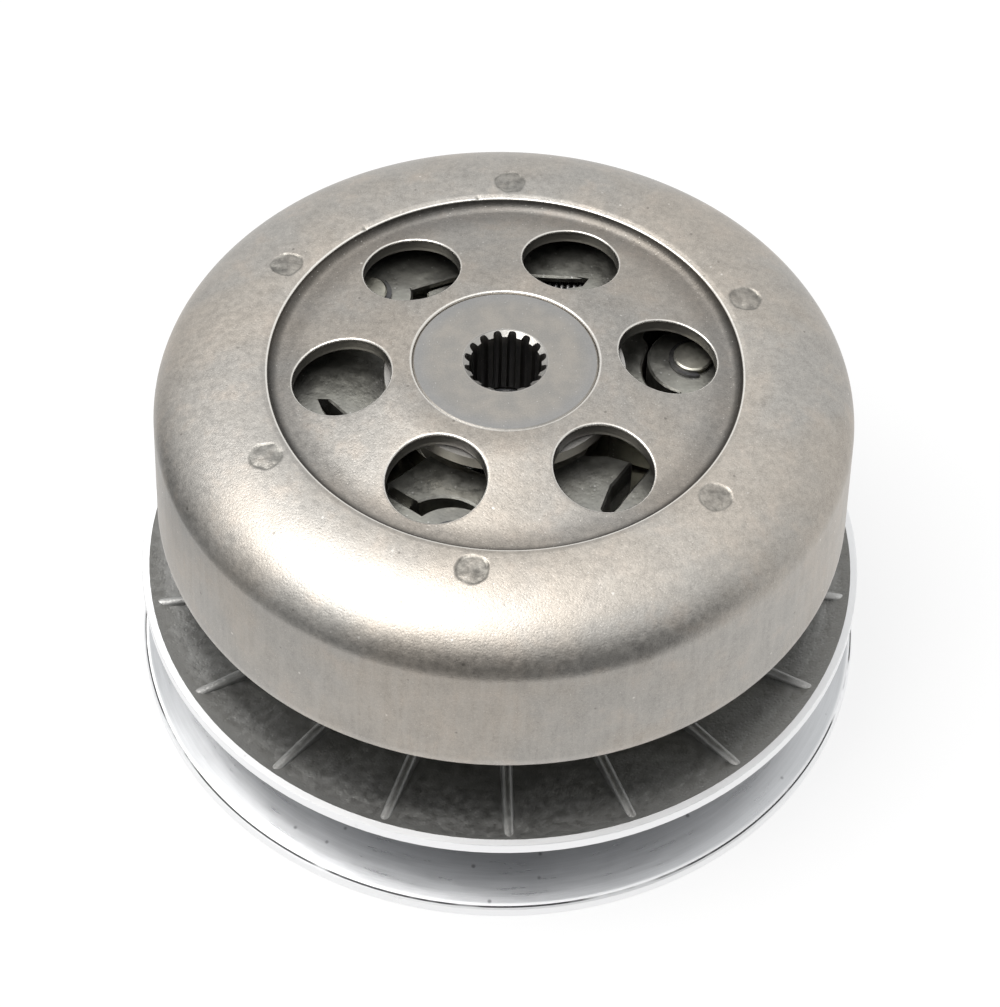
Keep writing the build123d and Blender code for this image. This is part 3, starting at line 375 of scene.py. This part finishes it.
def plain_metal(name, tone, dark, rough, size=0.4, depth=0.22, turned=False):
    g = Graph(name)
    x, y, z, rr = g.xyz()
    c, mid, h, dist, col = cast(g, tone, dark, size)
    n = g.bump(h, depth, 0.10)
    if turned:
        lines = g.noise(1.0, 4, 0.7, at=g.join(g.math("MULTIPLY", rr, 1.5), g.math("MULTIPLY", z, 5.0), 0.0))
        c = g.mix(1.0, c, g.grey(g.span(lines, 0.3, 0.7, 0.93, 1.05, False)), "MULTIPLY")
        n = g.bump(lines, 0.15, 0.05, n)
    return g.done(c, 1.0, g.span(mid, 0.3, 0.7, rough - 0.05, rough + 0.06, False), n)


def shoe_casting():
    g = Graph("shoe_casting")
    nx, ny, nz = g.normal()
    c, mid, h, dist, col = cast(g, (0.345, 0.340, 0.305), (0.27, 0.265, 0.245), 0.62)
    stain = g.noise(0.13, 5, 0.65, distortion=0.8)
    c = g.mix(g.span(stain, 0.52, 0.72, 0.0, 0.5), c, (0.27, 0.26, 0.235))
    spot = g.math("MULTIPLY", g.span(dist, 0.12, 0.32, 1.0, 0.0), g.span(col[0], 0.88, 0.92))
    c = g.mix(g.math("MULTIPLY", spot, 0.6), c, (0.72, 0.71, 0.69))
    n = g.bump(h, 0.26, 0.12)
    n = g.bump(g.noise(0.12, 3, 0.5), 0.22, 0.5, n)
    return g.done(c, 1.0, g.span(mid, 0.3, 0.7, 0.34, 0.44, False), n)


def lining():
    g = Graph("friction_lining")
    base = g.mix(g.noise(0.5, 4, 0.6), (0.060, 0.048, 0.036), (0.110, 0.092, 0.070))
    d, c = g.cells(1.3)
    fibre = g.math("MULTIPLY", g.span(d, 0.08, 0.22, 1.0, 0.0), g.span(c[0], 0.72, 0.8))
    base = g.mix(g.math("MULTIPLY", fibre, 0.8), base, (0.42, 0.30, 0.14))
    h = g.math("ADD", g.noise(3.0, 4, 0.6), g.math("MULTIPLY", fibre, 0.6))
    return g.done(base, 0.0, g.span(g.noise(1.2, 3), 0.3, 0.7, 0.7, 0.9, False), g.bump(h, 0.45, 0.15))


def rubber():
    g = Graph("black_rubber")
    base = g.mix(g.noise(0.8, 4, 0.6), (0.013, 0.013, 0.014), (0.030, 0.030, 0.031))
    return g.done(base, 0.0, g.span(g.noise(0.5, 3), 0.3, 0.7, 0.48, 0.66, False), g.bump(g.noise(4.0, 3), 0.2, 0.08))


def spring_wire():
    g = Graph("spring_steel")
    cloud = g.noise(0.25, 4, 0.6)
    base = g.mix(g.span(cloud, 0.35, 0.65), (0.085, 0.085, 0.090), (0.150, 0.148, 0.145))
    scale = g.noise(1.6, 4, 0.65)
    base = g.mix(1.0, base, g.grey(g.span(scale, 0.3, 0.7, 0.85, 1.15, False)), "MULTIPLY")
    return g.done(base, 1.0, g.span(scale, 0.3, 0.7, 0.30, 0.44, False), g.bump(scale, 0.15, 0.06))


MAT = {
    "blasted_steel": blasted_steel(),
    "turned_steel": turned_steel(),
    "aluminium_moving": aluminium("cast_aluminium_moving", True),
    "aluminium_fixed": aluminium("cast_aluminium_fixed", False),
    "ground_steel": plain_metal("ground_steel", (0.50, 0.50, 0.505), (0.44, 0.44, 0.445), 0.24, 0.25, 0.10, True),
    "bearing_steel": plain_metal("bearing_steel", (0.62, 0.62, 0.63), (0.56, 0.56, 0.57), 0.14, 0.20, 0.05, True),
    "cage_steel": plain_metal("cage_steel", (0.36, 0.36, 0.365), (0.30, 0.30, 0.305), 0.34, 0.3, 0.15),
    "zinc_steel": plain_metal("zinc_steel", (0.47, 0.455, 0.38), (0.36, 0.35, 0.31), 0.36, 0.45, 0.22),
    "spring_steel": spring_wire(),
    "black_rubber": rubber(),
    "shoe_casting": shoe_casting(),
    "friction_lining": lining(),
}
slots = {s["node"]: s["material_slot"] for s in frame["record"]["subparts"]}
for name, o in NODES.items():
    key = slots.get(name, "zinc_steel")
    if key == "cast_aluminium":
        key = "aluminium_moving" if name == "moving_sheave" else "aluminium_fixed"
    for i in range(max(1, len(o.material_slots))):
        if not o.material_slots:
            o.data.materials.append(MAT[key])
        o.material_slots[i].link = "OBJECT"
        o.material_slots[i].material = MAT[key]


# ------------------------------------------------------------------ mesh helpers
def build(name, verts_mm, faces, body, mat, replaces=(), sharp=32.0, weld=0.0004, attrs=None):
    """A mesh object from points in millimetres, welded, with its hard edges marked."""
    verts = np.asarray(verts_mm, float)
    if weld:
        key = np.round(verts / weld).astype(np.int64)
        _, first, inverse = np.unique(key, axis=0, return_index=True, return_inverse=True)
        inverse = inverse.ravel()
        verts = verts[first]
        if attrs:
            attrs = {k: np.asarray(v)[first] for k, v in attrs.items()}
        made = []
        for f in faces:
            f = [int(inverse[i]) for i in f]
            g = [v for i, v in enumerate(f) if v != f[i - 1]]
            if len(set(g)) >= 3:
                made.append(g)
        faces = made
    mesh = bpy.data.meshes.new(name)
    mesh.from_pydata((verts * 0.001).tolist(), [], faces)
    mesh.validate()
    bm = bmesh.new()
    bm.from_mesh(mesh)
    bmesh.ops.recalc_face_normals(bm, faces=bm.faces)
    bm.to_mesh(mesh)
    bm.free()
    for k, v in (attrs or {}).items():
        a = mesh.attributes.new(k, "FLOAT", "POINT")
        a.data.foreach_set("value", np.asarray(v, np.float32))
    mesh.shade_smooth()
    if sharp:
        mesh.set_sharp_from_angle(angle=math.radians(sharp))
    mesh.materials.append(mat)
    o = bpy.data.objects.new(name, mesh)
    scene.collection.objects.link(o)
    if replaces:
        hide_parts(*replaces)
    if body:
        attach(o, body)
    return o


def lathe(profile, angles, closed=False, start=0):
    """Verts and faces of a profile [(r, z)] turned through the angles (degrees, a full round)."""
    p = np.asarray(profile, float)
    a = np.radians(np.asarray(angles, float))
    n, k = len(p), len(a)
    v = np.empty((k, n, 3))
    v[:, :, 0] = np.cos(a)[:, None] * p[:, 0]
    v[:, :, 1] = np.sin(a)[:, None] * p[:, 0]
    v[:, :, 2] = p[:, 1]
    faces = []
    rows = n if closed else n - 1
    for i in range(k):
        j = (i + 1) % k
        for q in range(rows):
            s = (q + 1) % n
            faces.append((start + i * n + q, start + i * n + s, start + j * n + s, start + j * n + q))
    return v.reshape(-1, 3), faces


def tube(path, radius, sides=12, caps=True, start=0):
    """A round wire along points (mm), with parallel-transported rings."""
    p = np.asarray(path, float)
    t = np.gradient(p, axis=0)
    t /= np.linalg.norm(t, axis=1)[:, None]
    u = np.cross(t[0], (0, 0, 1.0) if abs(t[0][2]) < 0.9 else (1.0, 0, 0))
    u /= np.linalg.norm(u)
    a = np.linspace(0, 2 * math.pi, sides, endpoint=False)
    rings = []
    for i in range(len(p)):
        u = u - t[i] * (u @ t[i])
        u /= np.linalg.norm(u)
        w = np.cross(t[i], u)
        rings.append(p[i] + radius * (np.cos(a)[:, None] * u + np.sin(a)[:, None] * w))
    v = np.concatenate(rings)
    f = []
    for i in range(len(p) - 1):
        for q in range(sides):
            s = (q + 1) % sides
            f.append((start + i * sides + q, start + i * sides + s, start + (i + 1) * sides + s, start + (i + 1) * sides + q))
    if caps:
        f.append(tuple(start + q for q in reversed(range(sides))))
        f.append(tuple(start + (len(p) - 1) * sides + q for q in range(sides)))
    return v, f


# ------------------------------------------------------------------ bell
WEB_IN_R, BELL_T = 18.5, 3.2
WEB_LINE = ((18.9, 82.75), (23.5, 82.70), (43.0, 79.10), (44.85, 79.0))
FOOT_R = 2.4
CROWN_R, CROWN_Z, SHOULDER_B = 48.4, 81.2, 12.0
Z_SPRING = CROWN_Z - SHOULDER_B
R_TOP, R_LOW, R_IN, LOW_Z = 70.2, 71.0, 67.5, 44.2
MARKS = ((90.0, 0.9), (23.0, 1.1), (-38.5, 0.8), (-95.8, 1.0), (-151.0, 0.85), (149.5, 1.0))
MARK_R, MARK_SIZE = 52.3, 3.5
R_WEB0, R_WEB1 = 20.5, 44.8
HOLE_PCR, HOLE_R = 32.5, 9.8


def bend(x, at, before, after, reach=3.0):
    """Height over the first line of a bend between two slopes, rounded over reach on both sides."""
    t = np.clip((x - at + reach) / (2 * reach), 0, 1)
    return (after - before) * (t * t * reach + np.maximum(x - at - reach, 0))


def web_z(r):
    (r0, z0), (r1, z1), (r2, z2), (r3, z3) = WEB_LINE
    a, b, c = (z1 - z0) / (r1 - r0), (z2 - z1) / (r2 - r1), (z3 - z2) / (r3 - r2)
    return z0 + a * (r - r0) + bend(r, r1, a, b, 2.4) + bend(r, r2, b, c, 1.8)


def under_z(r):
    return web_z(r) - BELL_T


def bell():
    fine = set()
    for a, _ in MARKS:
        fine |= {round(4 * (a + d) ) / 4 % 360 for d in np.arange(-4.75, 4.76, 0.25)}
    for a in NICKS:
        fine |= {round(4 * (a + d)) / 4 % 360 for d in np.arange(-1.5, 1.6, 0.25)}
    angles = sorted(fine | {float(a) for a in range(360)})

    # outer skin, from the web's outer edge round the rim to the web's underside
    prof = [(R_WEB1, web_z(R_WEB1))]
    for t in np.radians(np.linspace(5, 70, 14)):
        prof.append((44.85 + FOOT_R * math.sin(t), 79.0 + FOOT_R * (1 - math.cos(t))))
    prof += [(47.16, 80.70), (47.22, 80.78), (47.31, 80.83), (47.42, 80.855), (47.6, 80.89), (47.8, 80.94), (48.1, 81.01), (48.4, 81.08)]
    a_out, b_out = R_TOP - CROWN_R, SHOULDER_B - 0.12
    r = 48.65
    while r < 57.5:
        prof.append((r, Z_SPRING + b_out * math.sqrt(1 - ((r - CROWN_R) / a_out) ** 2)))
        r += 0.28
    t0 = math.acos((prof[-1][0] - CROWN_R) / a_out)
    for t in np.linspace(t0, 0, 44)[1:]:
        prof.append((CROWN_R + a_out * math.cos(t), Z_SPRING + b_out * math.sin(t)))
    n_wall = 16
    for i in range(1, n_wall + 1):
        t = i / n_wall
        prof.append((R_TOP + (R_LOW - R_TOP) * t, Z_SPRING + (LOW_Z + 0.5 - Z_SPRING) * t))
    prof += [(70.93, 44.45), (70.75, 44.27), (70.5, LOW_Z), (69.2, LOW_Z), (68.0, LOW_Z), (67.7, 44.28), (67.54, 44.45), (R_IN, 44.7)]
    inside_from = len(prof)
    prof += [(R_IN, z) for z in np.linspace(44.7, Z_SPRING, 8)[1:]]
    for t in np.linspace(0, math.pi / 2, 20)[1:]:
        prof.append((CROWN_R + (R_IN - CROWN_R) * math.cos(t), Z_SPRING + 8.8 * math.sin(t)))
    prof += [(48.4, 77.4), (48.4, 76.4), (48.3, 75.95), (48.0, 75.6), (47.6, under_z(47.6)), (46.5, under_z(46.5)), (R_WEB1, under_z(R_WEB1))]
    verts, faces = lathe(prof, angles)
    faces = [tuple(reversed(f)) for f in faces]
    n_prof = len(prof)
    blocks, all_faces, count = [verts], list(faces), len(verts)
    edge_wear_and_sheen = np.zeros((len(angles), n_prof))
    # painted shade weight: the bell's inside here, and further down the hole walls and the underside
    shade_inside = np.zeros((len(angles), n_prof))
    shade_inside[:, inside_from:] = 1.0
    # the lip rows, and faintly the bottom lip, get edge weight: rubbed wear and painted highlight
    for q, (pr, pz) in enumerate(prof):
        if 47.12 <= pr <= 47.5 and 80.6 < pz < 80.88:
            edge_wear_and_sheen[:, q] = 1.0
        if pr > 70.3 and pz < 44.8:
            edge_wear_and_sheen[:, q] = 0.2
    edges, shade_inside_parts = [edge_wear_and_sheen.ravel()], [shade_inside.ravel()]

    # inner band round the hub
    inner = [(R_WEB0, web_z(R_WEB0)), (19.6, web_z(19.6)), (19.05, web_z(19.05)), (18.88, web_z(18.8) - 0.015),
             (18.74, web_z(18.62) - 0.06), (18.62, web_z(18.53) - 0.15), (18.54, 82.50), (18.51, 82.2), (18.5, 81.6),
             (WEB_IN_R, under_z(WEB_IN_R)), (19.5, under_z(19.5)), (R_WEB0, under_z(R_WEB0))]
    v, f = lathe(inner, range(360), start=count)
    blocks.append(v)
    all_faces += f
    e = np.zeros((360, len(inner)))
    # the rounded hub edge of the web gets edge weight: rubbed wear and painted highlight
    e[:, 3:7] = 0.9
    edges.append(e.ravel())
    shade_inside_parts.append(np.zeros(e.size))
    count += len(v)

    # web, one sixth at a time: lines run from each hole's edge to the sixth's outline
    steps = np.array([0, 0.06, 0.14, 0.24, 0.36, 0.5, 0.66, 0.83, 1.0])
    radial = np.linspace(R_WEB1, R_WEB0, 25)[1:-1]
    for k in range(6):
        mid = 7.0 + 60 * k
        arc = [a for a in angles if (a - (mid - 30)) % 360 <= 60.0001]
        arc = sorted(arc, key=lambda a: (a - (mid - 30) + 1e-6) % 360)
        outline = [(R_WEB1, a) for a in arc]
        outline += [(r, mid + 30) for r in radial]
        outline += [(R_WEB0, mid + 30 - i) for i in range(61)]
        outline += [(r, mid - 30) for r in radial[::-1]]
        outline = np.array([(r * math.cos(math.radians(a)), r * math.sin(math.radians(a))) for r, a in outline])
        c = HOLE_PCR * np.array([math.cos(math.radians(mid)), math.sin(math.radians(mid))])
        d = outline - c
        length = np.linalg.norm(d, axis=1)
        unit = d / length[:, None]
        n = len(outline)
        rim = 10.25
        rows, row_e = [], []
        for t in steps[::-1]:
            p = c + unit * (rim + (length - rim) * t)[:, None]
            rows.append(np.c_[p, web_z(np.hypot(p[:, 0], p[:, 1]))])
            row_e.append(np.zeros(n))
        # the hole's rounded rim rows carry edge weight: rubbed wear and painted highlight
        for rr_, drop, ee in ((10.12, 0.03, 0.6), (9.99, 0.10, 1.0), (9.89, 0.21, 1.0), (9.82, 0.36, 0.7), (HOLE_R, 0.55, 0.0)):
            p = c + unit * rr_
            rows.append(np.c_[p, web_z(np.hypot(p[:, 0], p[:, 1])) - drop])
            row_e.append(np.full(n, ee))
        p = c + unit * HOLE_R
        low = under_z(np.hypot(p[:, 0], p[:, 1]))
        top = rows[-1][:, 2]
        for t in (0.33, 0.66):
            rows.append(np.c_[p, top + (low + 0.25 - top) * t])
            row_e.append(np.zeros(n))
        rows.append(np.c_[p, low + 0.25])
        p2 = c + unit * (HOLE_R + 0.25)
        rows.append(np.c_[p2, under_z(np.hypot(p2[:, 0], p2[:, 1]))])
        row_e += [np.zeros(n)] * 2
        for t in (0.15, 0.4, 0.7, 1.0):
            p = c + unit * (10.05 + (length - 10.05) * t)[:, None]
            rows.append(np.c_[p, under_z(np.hypot(p[:, 0], p[:, 1]))])
            row_e.append(np.zeros(n))
        v = np.concatenate(rows)
        for i in range(len(rows) - 1):
            for q in range(n):
                s = (q + 1) % n
                all_faces.append((count + i * n + q, count + i * n + s, count + (i + 1) * n + s, count + (i + 1) * n + q))
        blocks.append(v)
        edges.append(np.concatenate(row_e))
        first = len(steps) + 5
        shade_inside_parts.append(np.concatenate([np.full(n, float(i >= first - 1)) for i in range(len(rows))]))
        count += len(v)

    verts = np.concatenate(blocks)
    edge_wear_and_sheen = np.concatenate(edges)
    shade_inside = np.concatenate(shade_inside_parts)
    mark = np.zeros(len(verts))
    r = np.hypot(verts[:, 0], verts[:, 1])
    # punched marks: shallow discs of uneven depth on the crown
    zone = (r > 47.6) & (r < 57.6) & (verts[:, 2] > 78.5)
    idx = np.flatnonzero(zone)
    for k, (a, strength) in enumerate(MARKS):
        cx, cy = MARK_R * math.cos(math.radians(a)), MARK_R * math.sin(math.radians(a))
        for i in idx:
            dx, dy = verts[i, 0] - cx, verts[i, 1] - cy
            rho = math.hypot(dx, dy)
            if rho > MARK_SIZE + 0.6:
                continue
            wob = mnoise.noise((dx * 0.5 + 9 * k, dy * 0.5, 3.1 * k)) * 0.35
            size = MARK_SIZE - 0.25 + wob
            inside = min(1.0, max(0.0, (size - rho) / 0.40 + 0.5))
            inside = inside * inside * (3 - 2 * inside)
            lump = 0.66 + 0.8 * mnoise.noise((dx * 0.42 + 5 * k, dy * 0.42 - 3 * k, 1.7))
            lump += 0.14 * mnoise.noise((dx * 1.6 + 5 * k, dy * 1.6, 7.7))
            depth = 0.34 * strength * inside * min(1.2, max(0.15, lump))
            ring = math.exp(-((rho - size - 0.14) / 0.22) ** 2) * 0.008
            foot = math.exp(-((rho - size + 0.16) / 0.26) ** 2)
            verts[i, 2] -= depth - ring
            # the mark weight darkens each dent; its foot ring is painted shade
            mark[i] = max(inside * min(0.9, max(0.3, 0.36 + lump * 0.5)), foot * min(1.0, 0.45 + strength * 0.5))
    # knocks on the recess lip and a hole edge
    for cx, cy, cz, rad, dep in KNOCKS:
        d = np.sqrt((verts[:, 0] - cx) ** 2 + (verts[:, 1] - cy) ** 2 + (verts[:, 2] - cz) ** 2)
        w = np.clip(1 - d / rad, 0, 1) ** 1.5
        verts[:, 2] -= dep * w
        edge_wear_and_sheen *= 1 - 0.8 * np.clip(w * 2, 0, 1)
        mark = np.maximum(mark, 0.9 * np.clip(w * 1.6, 0, 1))
    return build("bell_shell", verts, all_faces, "bell", MAT["blasted_steel"], ["clutch_bell"],
                 sharp=None, attrs={"mark": mark, "edge_wear_and_sheen": edge_wear_and_sheen, "shade_inside": shade_inside})


# knocks seen in the photograph, in mm: on the recess lip and on a hole edge
KNOCKS = (
    (-29.7, 37.3, 80.8, 0.9, 0.22),
    (-6.6, 47.0, 80.8, 0.8, 0.18),
    (10.3, 34.9, 80.4, 0.9, 0.35),
)
NICKS = [math.degrees(math.atan2(y, x)) for x, y, *_ in KNOCKS if math.hypot(x, y) > 45]
bell()


# ------------------------------------------------------------------ main spring
def main_spring():
    z0, z1 = 19.72, 53.28
    turns, start = (33.6 + 3.2) / 7.2, 19.7 - 1.6
    n = int(turns * 110)
    t = np.linspace(0, turns, n)
    path = np.c_[26.0 * np.cos(2 * math.pi * t), 26.0 * np.sin(2 * math.pi * t), start + 7.2 * t]
    v, f = tube(path, 2.1, 22)
    v[:, 2] = np.clip(v[:, 2], z0, z1)
    o = build("main_spring_coil", v, f, "pulley", MAT["spring_steel"], ["main_spring"], sharp=40, weld=0)
    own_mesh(o)


main_spring()


# ------------------------------------------------------------------ return springs
def cw(r, p):
    return np.array([r * math.cos(math.radians(p)), -r * math.sin(math.radians(p))])


def return_springs():
    end_a, end_b = cw(37.5, 27.5), cw(42.5, 80.0)
    wire, mean, turns, z = 1.2, 2.9, 15, 66.0
    u = (end_b - end_a) / np.linalg.norm(end_b - end_a)
    side = np.array([-u[1], u[0]])
    mid = (end_a + end_b) / 2
    half, reach = turns * wire / 2, np.linalg.norm(end_b - end_a) / 2

    def at(s, a, b):
        return np.array([*(mid + u * s + side * a), z + b])

    for i in range(3):
        pts = []
        # down its hole, up, along the axis, out to the coil
        for zz in np.linspace(-4.0, -0.9, 6):
            pts.append(at(-reach, 0, zz))
        for q in np.linspace(0.15, 0.85, 4):
            pts.append(at(-reach + 0.9 * (1 - math.cos(q * math.pi / 2)), 0, -0.9 * (1 - math.sin(q * math.pi / 2))))
        for s in np.linspace(-reach + 0.95, -half - 2.4, 8):
            pts.append(at(s, 0, 0))
        for q in np.linspace(0.1, 1, 8):
            w = q * q * (3 - 2 * q)
            pts.append(at(-half - 2.4 + 1.8 * q, mean * w * math.sin(0.9 * (q - 1)), mean * w * math.cos(0.9 * (q - 1))))
        for q in np.linspace(0, 1, turns * 28)[1:]:
            a = q * turns * 2 * math.pi
            pts.append(at(-half - 0.6 + q * (2 * half + 1.2) * 1.0, mean * math.sin(a), mean * math.cos(a)))
        for q in np.linspace(0.9, 0, 8):
            w = q * q * (3 - 2 * q)
            pts.append(at(half + 2.4 - 1.8 * q, mean * w * math.sin(0.9 * (1 - q)), mean * w * math.cos(0.9 * (1 - q))))
        for s in np.linspace(half + 2.6, reach - 0.95, 8):
            pts.append(at(s, 0, 0))
        for q in np.linspace(0.15, 0.85, 4):
            pts.append(at(reach - 0.9 * (1 - math.sin(q * math.pi / 2)), 0, -0.9 * (1 - math.cos(q * math.pi / 2))))
        for zz in np.linspace(-0.9, -4.0, 6):
            pts.append(at(reach, 0, zz))
        turn = math.radians(16.5 + 120 * i)
        c, s = math.cos(turn), math.sin(turn)
        p = np.array(pts)
        p[:, :2] = p[:, :2] @ np.array([[c, s], [-s, c]])
        v, f = tube(p, wire / 2 * 0.985, 10)
        name = f"shoe_spring_coil_{i + 1}"
        o = build(name, v, f, None, MAT["spring_steel"], [f"return_spring_{i + 1}"], sharp=None, weld=0)
        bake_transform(o)


return_springs()


# ------------------------------------------------------------------ floor and light
def floor():
    g = Graph("floor_pale")
    tone = g.mix(g.span(g.noise(0.004, 3, 0.5), 0.3, 0.7), (0.175, 0.175, 0.175), (0.19, 0.19, 0.19))
    mat = g.done(tone, 0.0, 0.9, None, Specular_IOR_Level=0.1, Emission_Color=(1, 1, 1, 1), Emission_Strength=0.745)
    mesh = bpy.data.meshes.new("floor")
    s = 8.0
    mesh.from_pydata([(-s, -s, 0), (s, -s, 0), (s, s, 0), (-s, s, 0)], [], [(0, 1, 2, 3)])
    mesh.materials.append(mat)
    o = bpy.data.objects.new("floor", mesh)
    scene.collection.objects.link(o)


floor()


def low_card():
    """The unlit room beyond the lit sweep: a low dark apron in front and on the left, which only gloss sees."""
    g = Graph("low_card")
    tc = g.t.nodes.new("ShaderNodeTexCoord")
    sp = g.t.nodes.new("ShaderNodeSeparateXYZ")
    g.t.links.new(tc.outputs["Object"], sp.inputs[0])
    em = g.t.nodes.new("ShaderNodeEmission")
    em.inputs[0].default_value = (0.97, 0.99, 1.0, 1)
    ang = g.math("ARCTAN2", sp.outputs[1], sp.outputs[0])
    # az -180...-130 is lighter than the front
    g.t.links.new(g.span(ang, math.radians(-150), math.radians(-110), 0.40, 0.23), em.inputs[1])
    out = [n for n in g.t.nodes if n.type == "OUTPUT_MATERIAL"][0]
    g.t.links.new(em.outputs[0], out.inputs[0])
    azs = np.arange(150.0, 326.0, 3.0)
    verts, faces = [], []
    for a in azs:
        front = max(0.0, math.cos(math.radians(a - 270)))
        near = 0.118 + 0.055 * front
        # the two ends of the apron draw back
        end = min(1.0, (a - 150.0) / 25.0, (325.0 - a) / 25.0)
        near += 0.25 * (1 - max(0.0, end)) ** 2
        c, s_ = math.cos(math.radians(a)), math.sin(math.radians(a))
        verts += [(near * c, near * s_, 0.0006), (0.6 * c, 0.6 * s_, 0.0006), (4.0 * c, 4.0 * s_, 0.0006)]
    for i in range(len(azs) - 1):
        for q in range(2):
            faces.append((3 * i + q, 3 * i + q + 1, 3 * i + q + 4, 3 * i + q + 3))
    mesh = bpy.data.meshes.new("low_card")
    mesh.from_pydata(verts, [], faces)
    mesh.materials.append(g.mat)
    o = bpy.data.objects.new("low_card", mesh)
    scene.collection.objects.link(o)
    o.visible_camera = o.visible_diffuse = o.visible_shadow = o.visible_transmission = False


low_card()


def softbox(name, at, to, size, power, color=(1, 1, 1), size_y=None):
    d = bpy.data.lights.new(name, "AREA")
    d.shape = "RECTANGLE"
    d.size, d.size_y = size, size_y or size
    d.energy, d.color = power, color
    o = bpy.data.objects.new(name, d)
    scene.collection.objects.link(o)
    o.location = at
    o.rotation_mode = "QUATERNION"
    o.rotation_quaternion = (Vector(to) - Vector(at)).to_track_quat("-Z", "Y")
    return o


def toward(az, el, dist):
    a, e = math.radians(az), math.radians(el)
    return (dist * math.cos(e) * math.cos(a), dist * math.cos(e) * math.sin(a), 0.07 + dist * math.sin(e))


softbox("key", toward(-160, 68, 1.0), (0, 0, 0.07), 0.78, 9.6, (1.0, 0.985, 0.965))

# the room: white all round, dark behind the camera, brighter overhead
world = bpy.data.worlds.new("studio")
scene.world = world
world.use_nodes = True
wt = world.node_tree
wt.nodes.clear()


def wnode(kind, op=None, **inputs):
    n = wt.nodes.new(kind)
    if op:
        n.operation = op
    for k, v in inputs.items():
        sock = n.inputs[int(k[1:])] if k[0] == "_" and k[1:].isdigit() else n.inputs[k.replace("_", " ")]
        if isinstance(v, bpy.types.NodeSocket):
            wt.links.new(v, sock)
        else:
            sock.default_value = v
    return n.outputs[0]


def wspan(v, a, b, lo, hi):
    n = wt.nodes.new("ShaderNodeMapRange")
    n.interpolation_type = "SMOOTHSTEP"
    n.clamp = True
    wt.links.new(v, n.inputs["Value"])
    for k, x in (("From Min", a), ("From Max", b), ("To Min", lo), ("To Max", hi)):
        n.inputs[k].default_value = x
    return n.outputs[0]


tc = wt.nodes.new("ShaderNodeTexCoord")
d = wnode("ShaderNodeVectorMath", "NORMALIZE", _0=tc.outputs["Generated"])
sep = wt.nodes.new("ShaderNodeSeparateXYZ")
wt.links.new(d, sep.inputs[0])
flat = wnode("ShaderNodeVectorMath", "MULTIPLY", _0=d, _1=(1, 1, 0))
flat = wnode("ShaderNodeVectorMath", "NORMALIZE", _0=flat)


def side(az, inner, outer):
    """1 within inner degrees of an azimuth, 0 beyond outer."""
    n = wt.nodes.new("ShaderNodeVectorMath")
    n.operation = "DOT_PRODUCT"
    wt.links.new(flat, n.inputs[0])
    n.inputs[1].default_value = (math.cos(math.radians(az)), math.sin(math.radians(az)), 0)
    return wspan(n.outputs["Value"], math.cos(math.radians(outer)), math.cos(math.radians(inner)), 0.0, 1.0)


def below(inner, outer):
    """1 under an elevation of inner degrees, 0 over outer."""
    return wspan(sep.outputs[2], math.sin(math.radians(inner)), math.sin(math.radians(outer)), 1.0, 0.0)


dark = wnode("ShaderNodeMath", "MULTIPLY", _0=side(-72, 34, 72), _1=below(22, 58))
left = wnode("ShaderNodeMath", "MULTIPLY", _0=side(-172, 30, 75), _1=below(0, 32))
up = wspan(sep.outputs[2], math.sin(math.radians(45)), math.sin(math.radians(75)), 1.06, 1.5)
v = wnode("ShaderNodeMath", "MULTIPLY", _0=up, _1=wspan(dark, 0.0, 1.0, 1.0, 0.20))
v = wnode("ShaderNodeMath", "MULTIPLY", _0=v, _1=wspan(left, 0.0, 1.0, 1.0, 0.50))
bg = wt.nodes.new("ShaderNodeBackground")
bg.inputs[0].default_value = (0.985, 0.995, 1.0, 1)
wt.links.new(v, bg.inputs[1])
wo = wt.nodes.new("ShaderNodeOutputWorld")
wt.links.new(bg.outputs[0], wo.inputs[0])
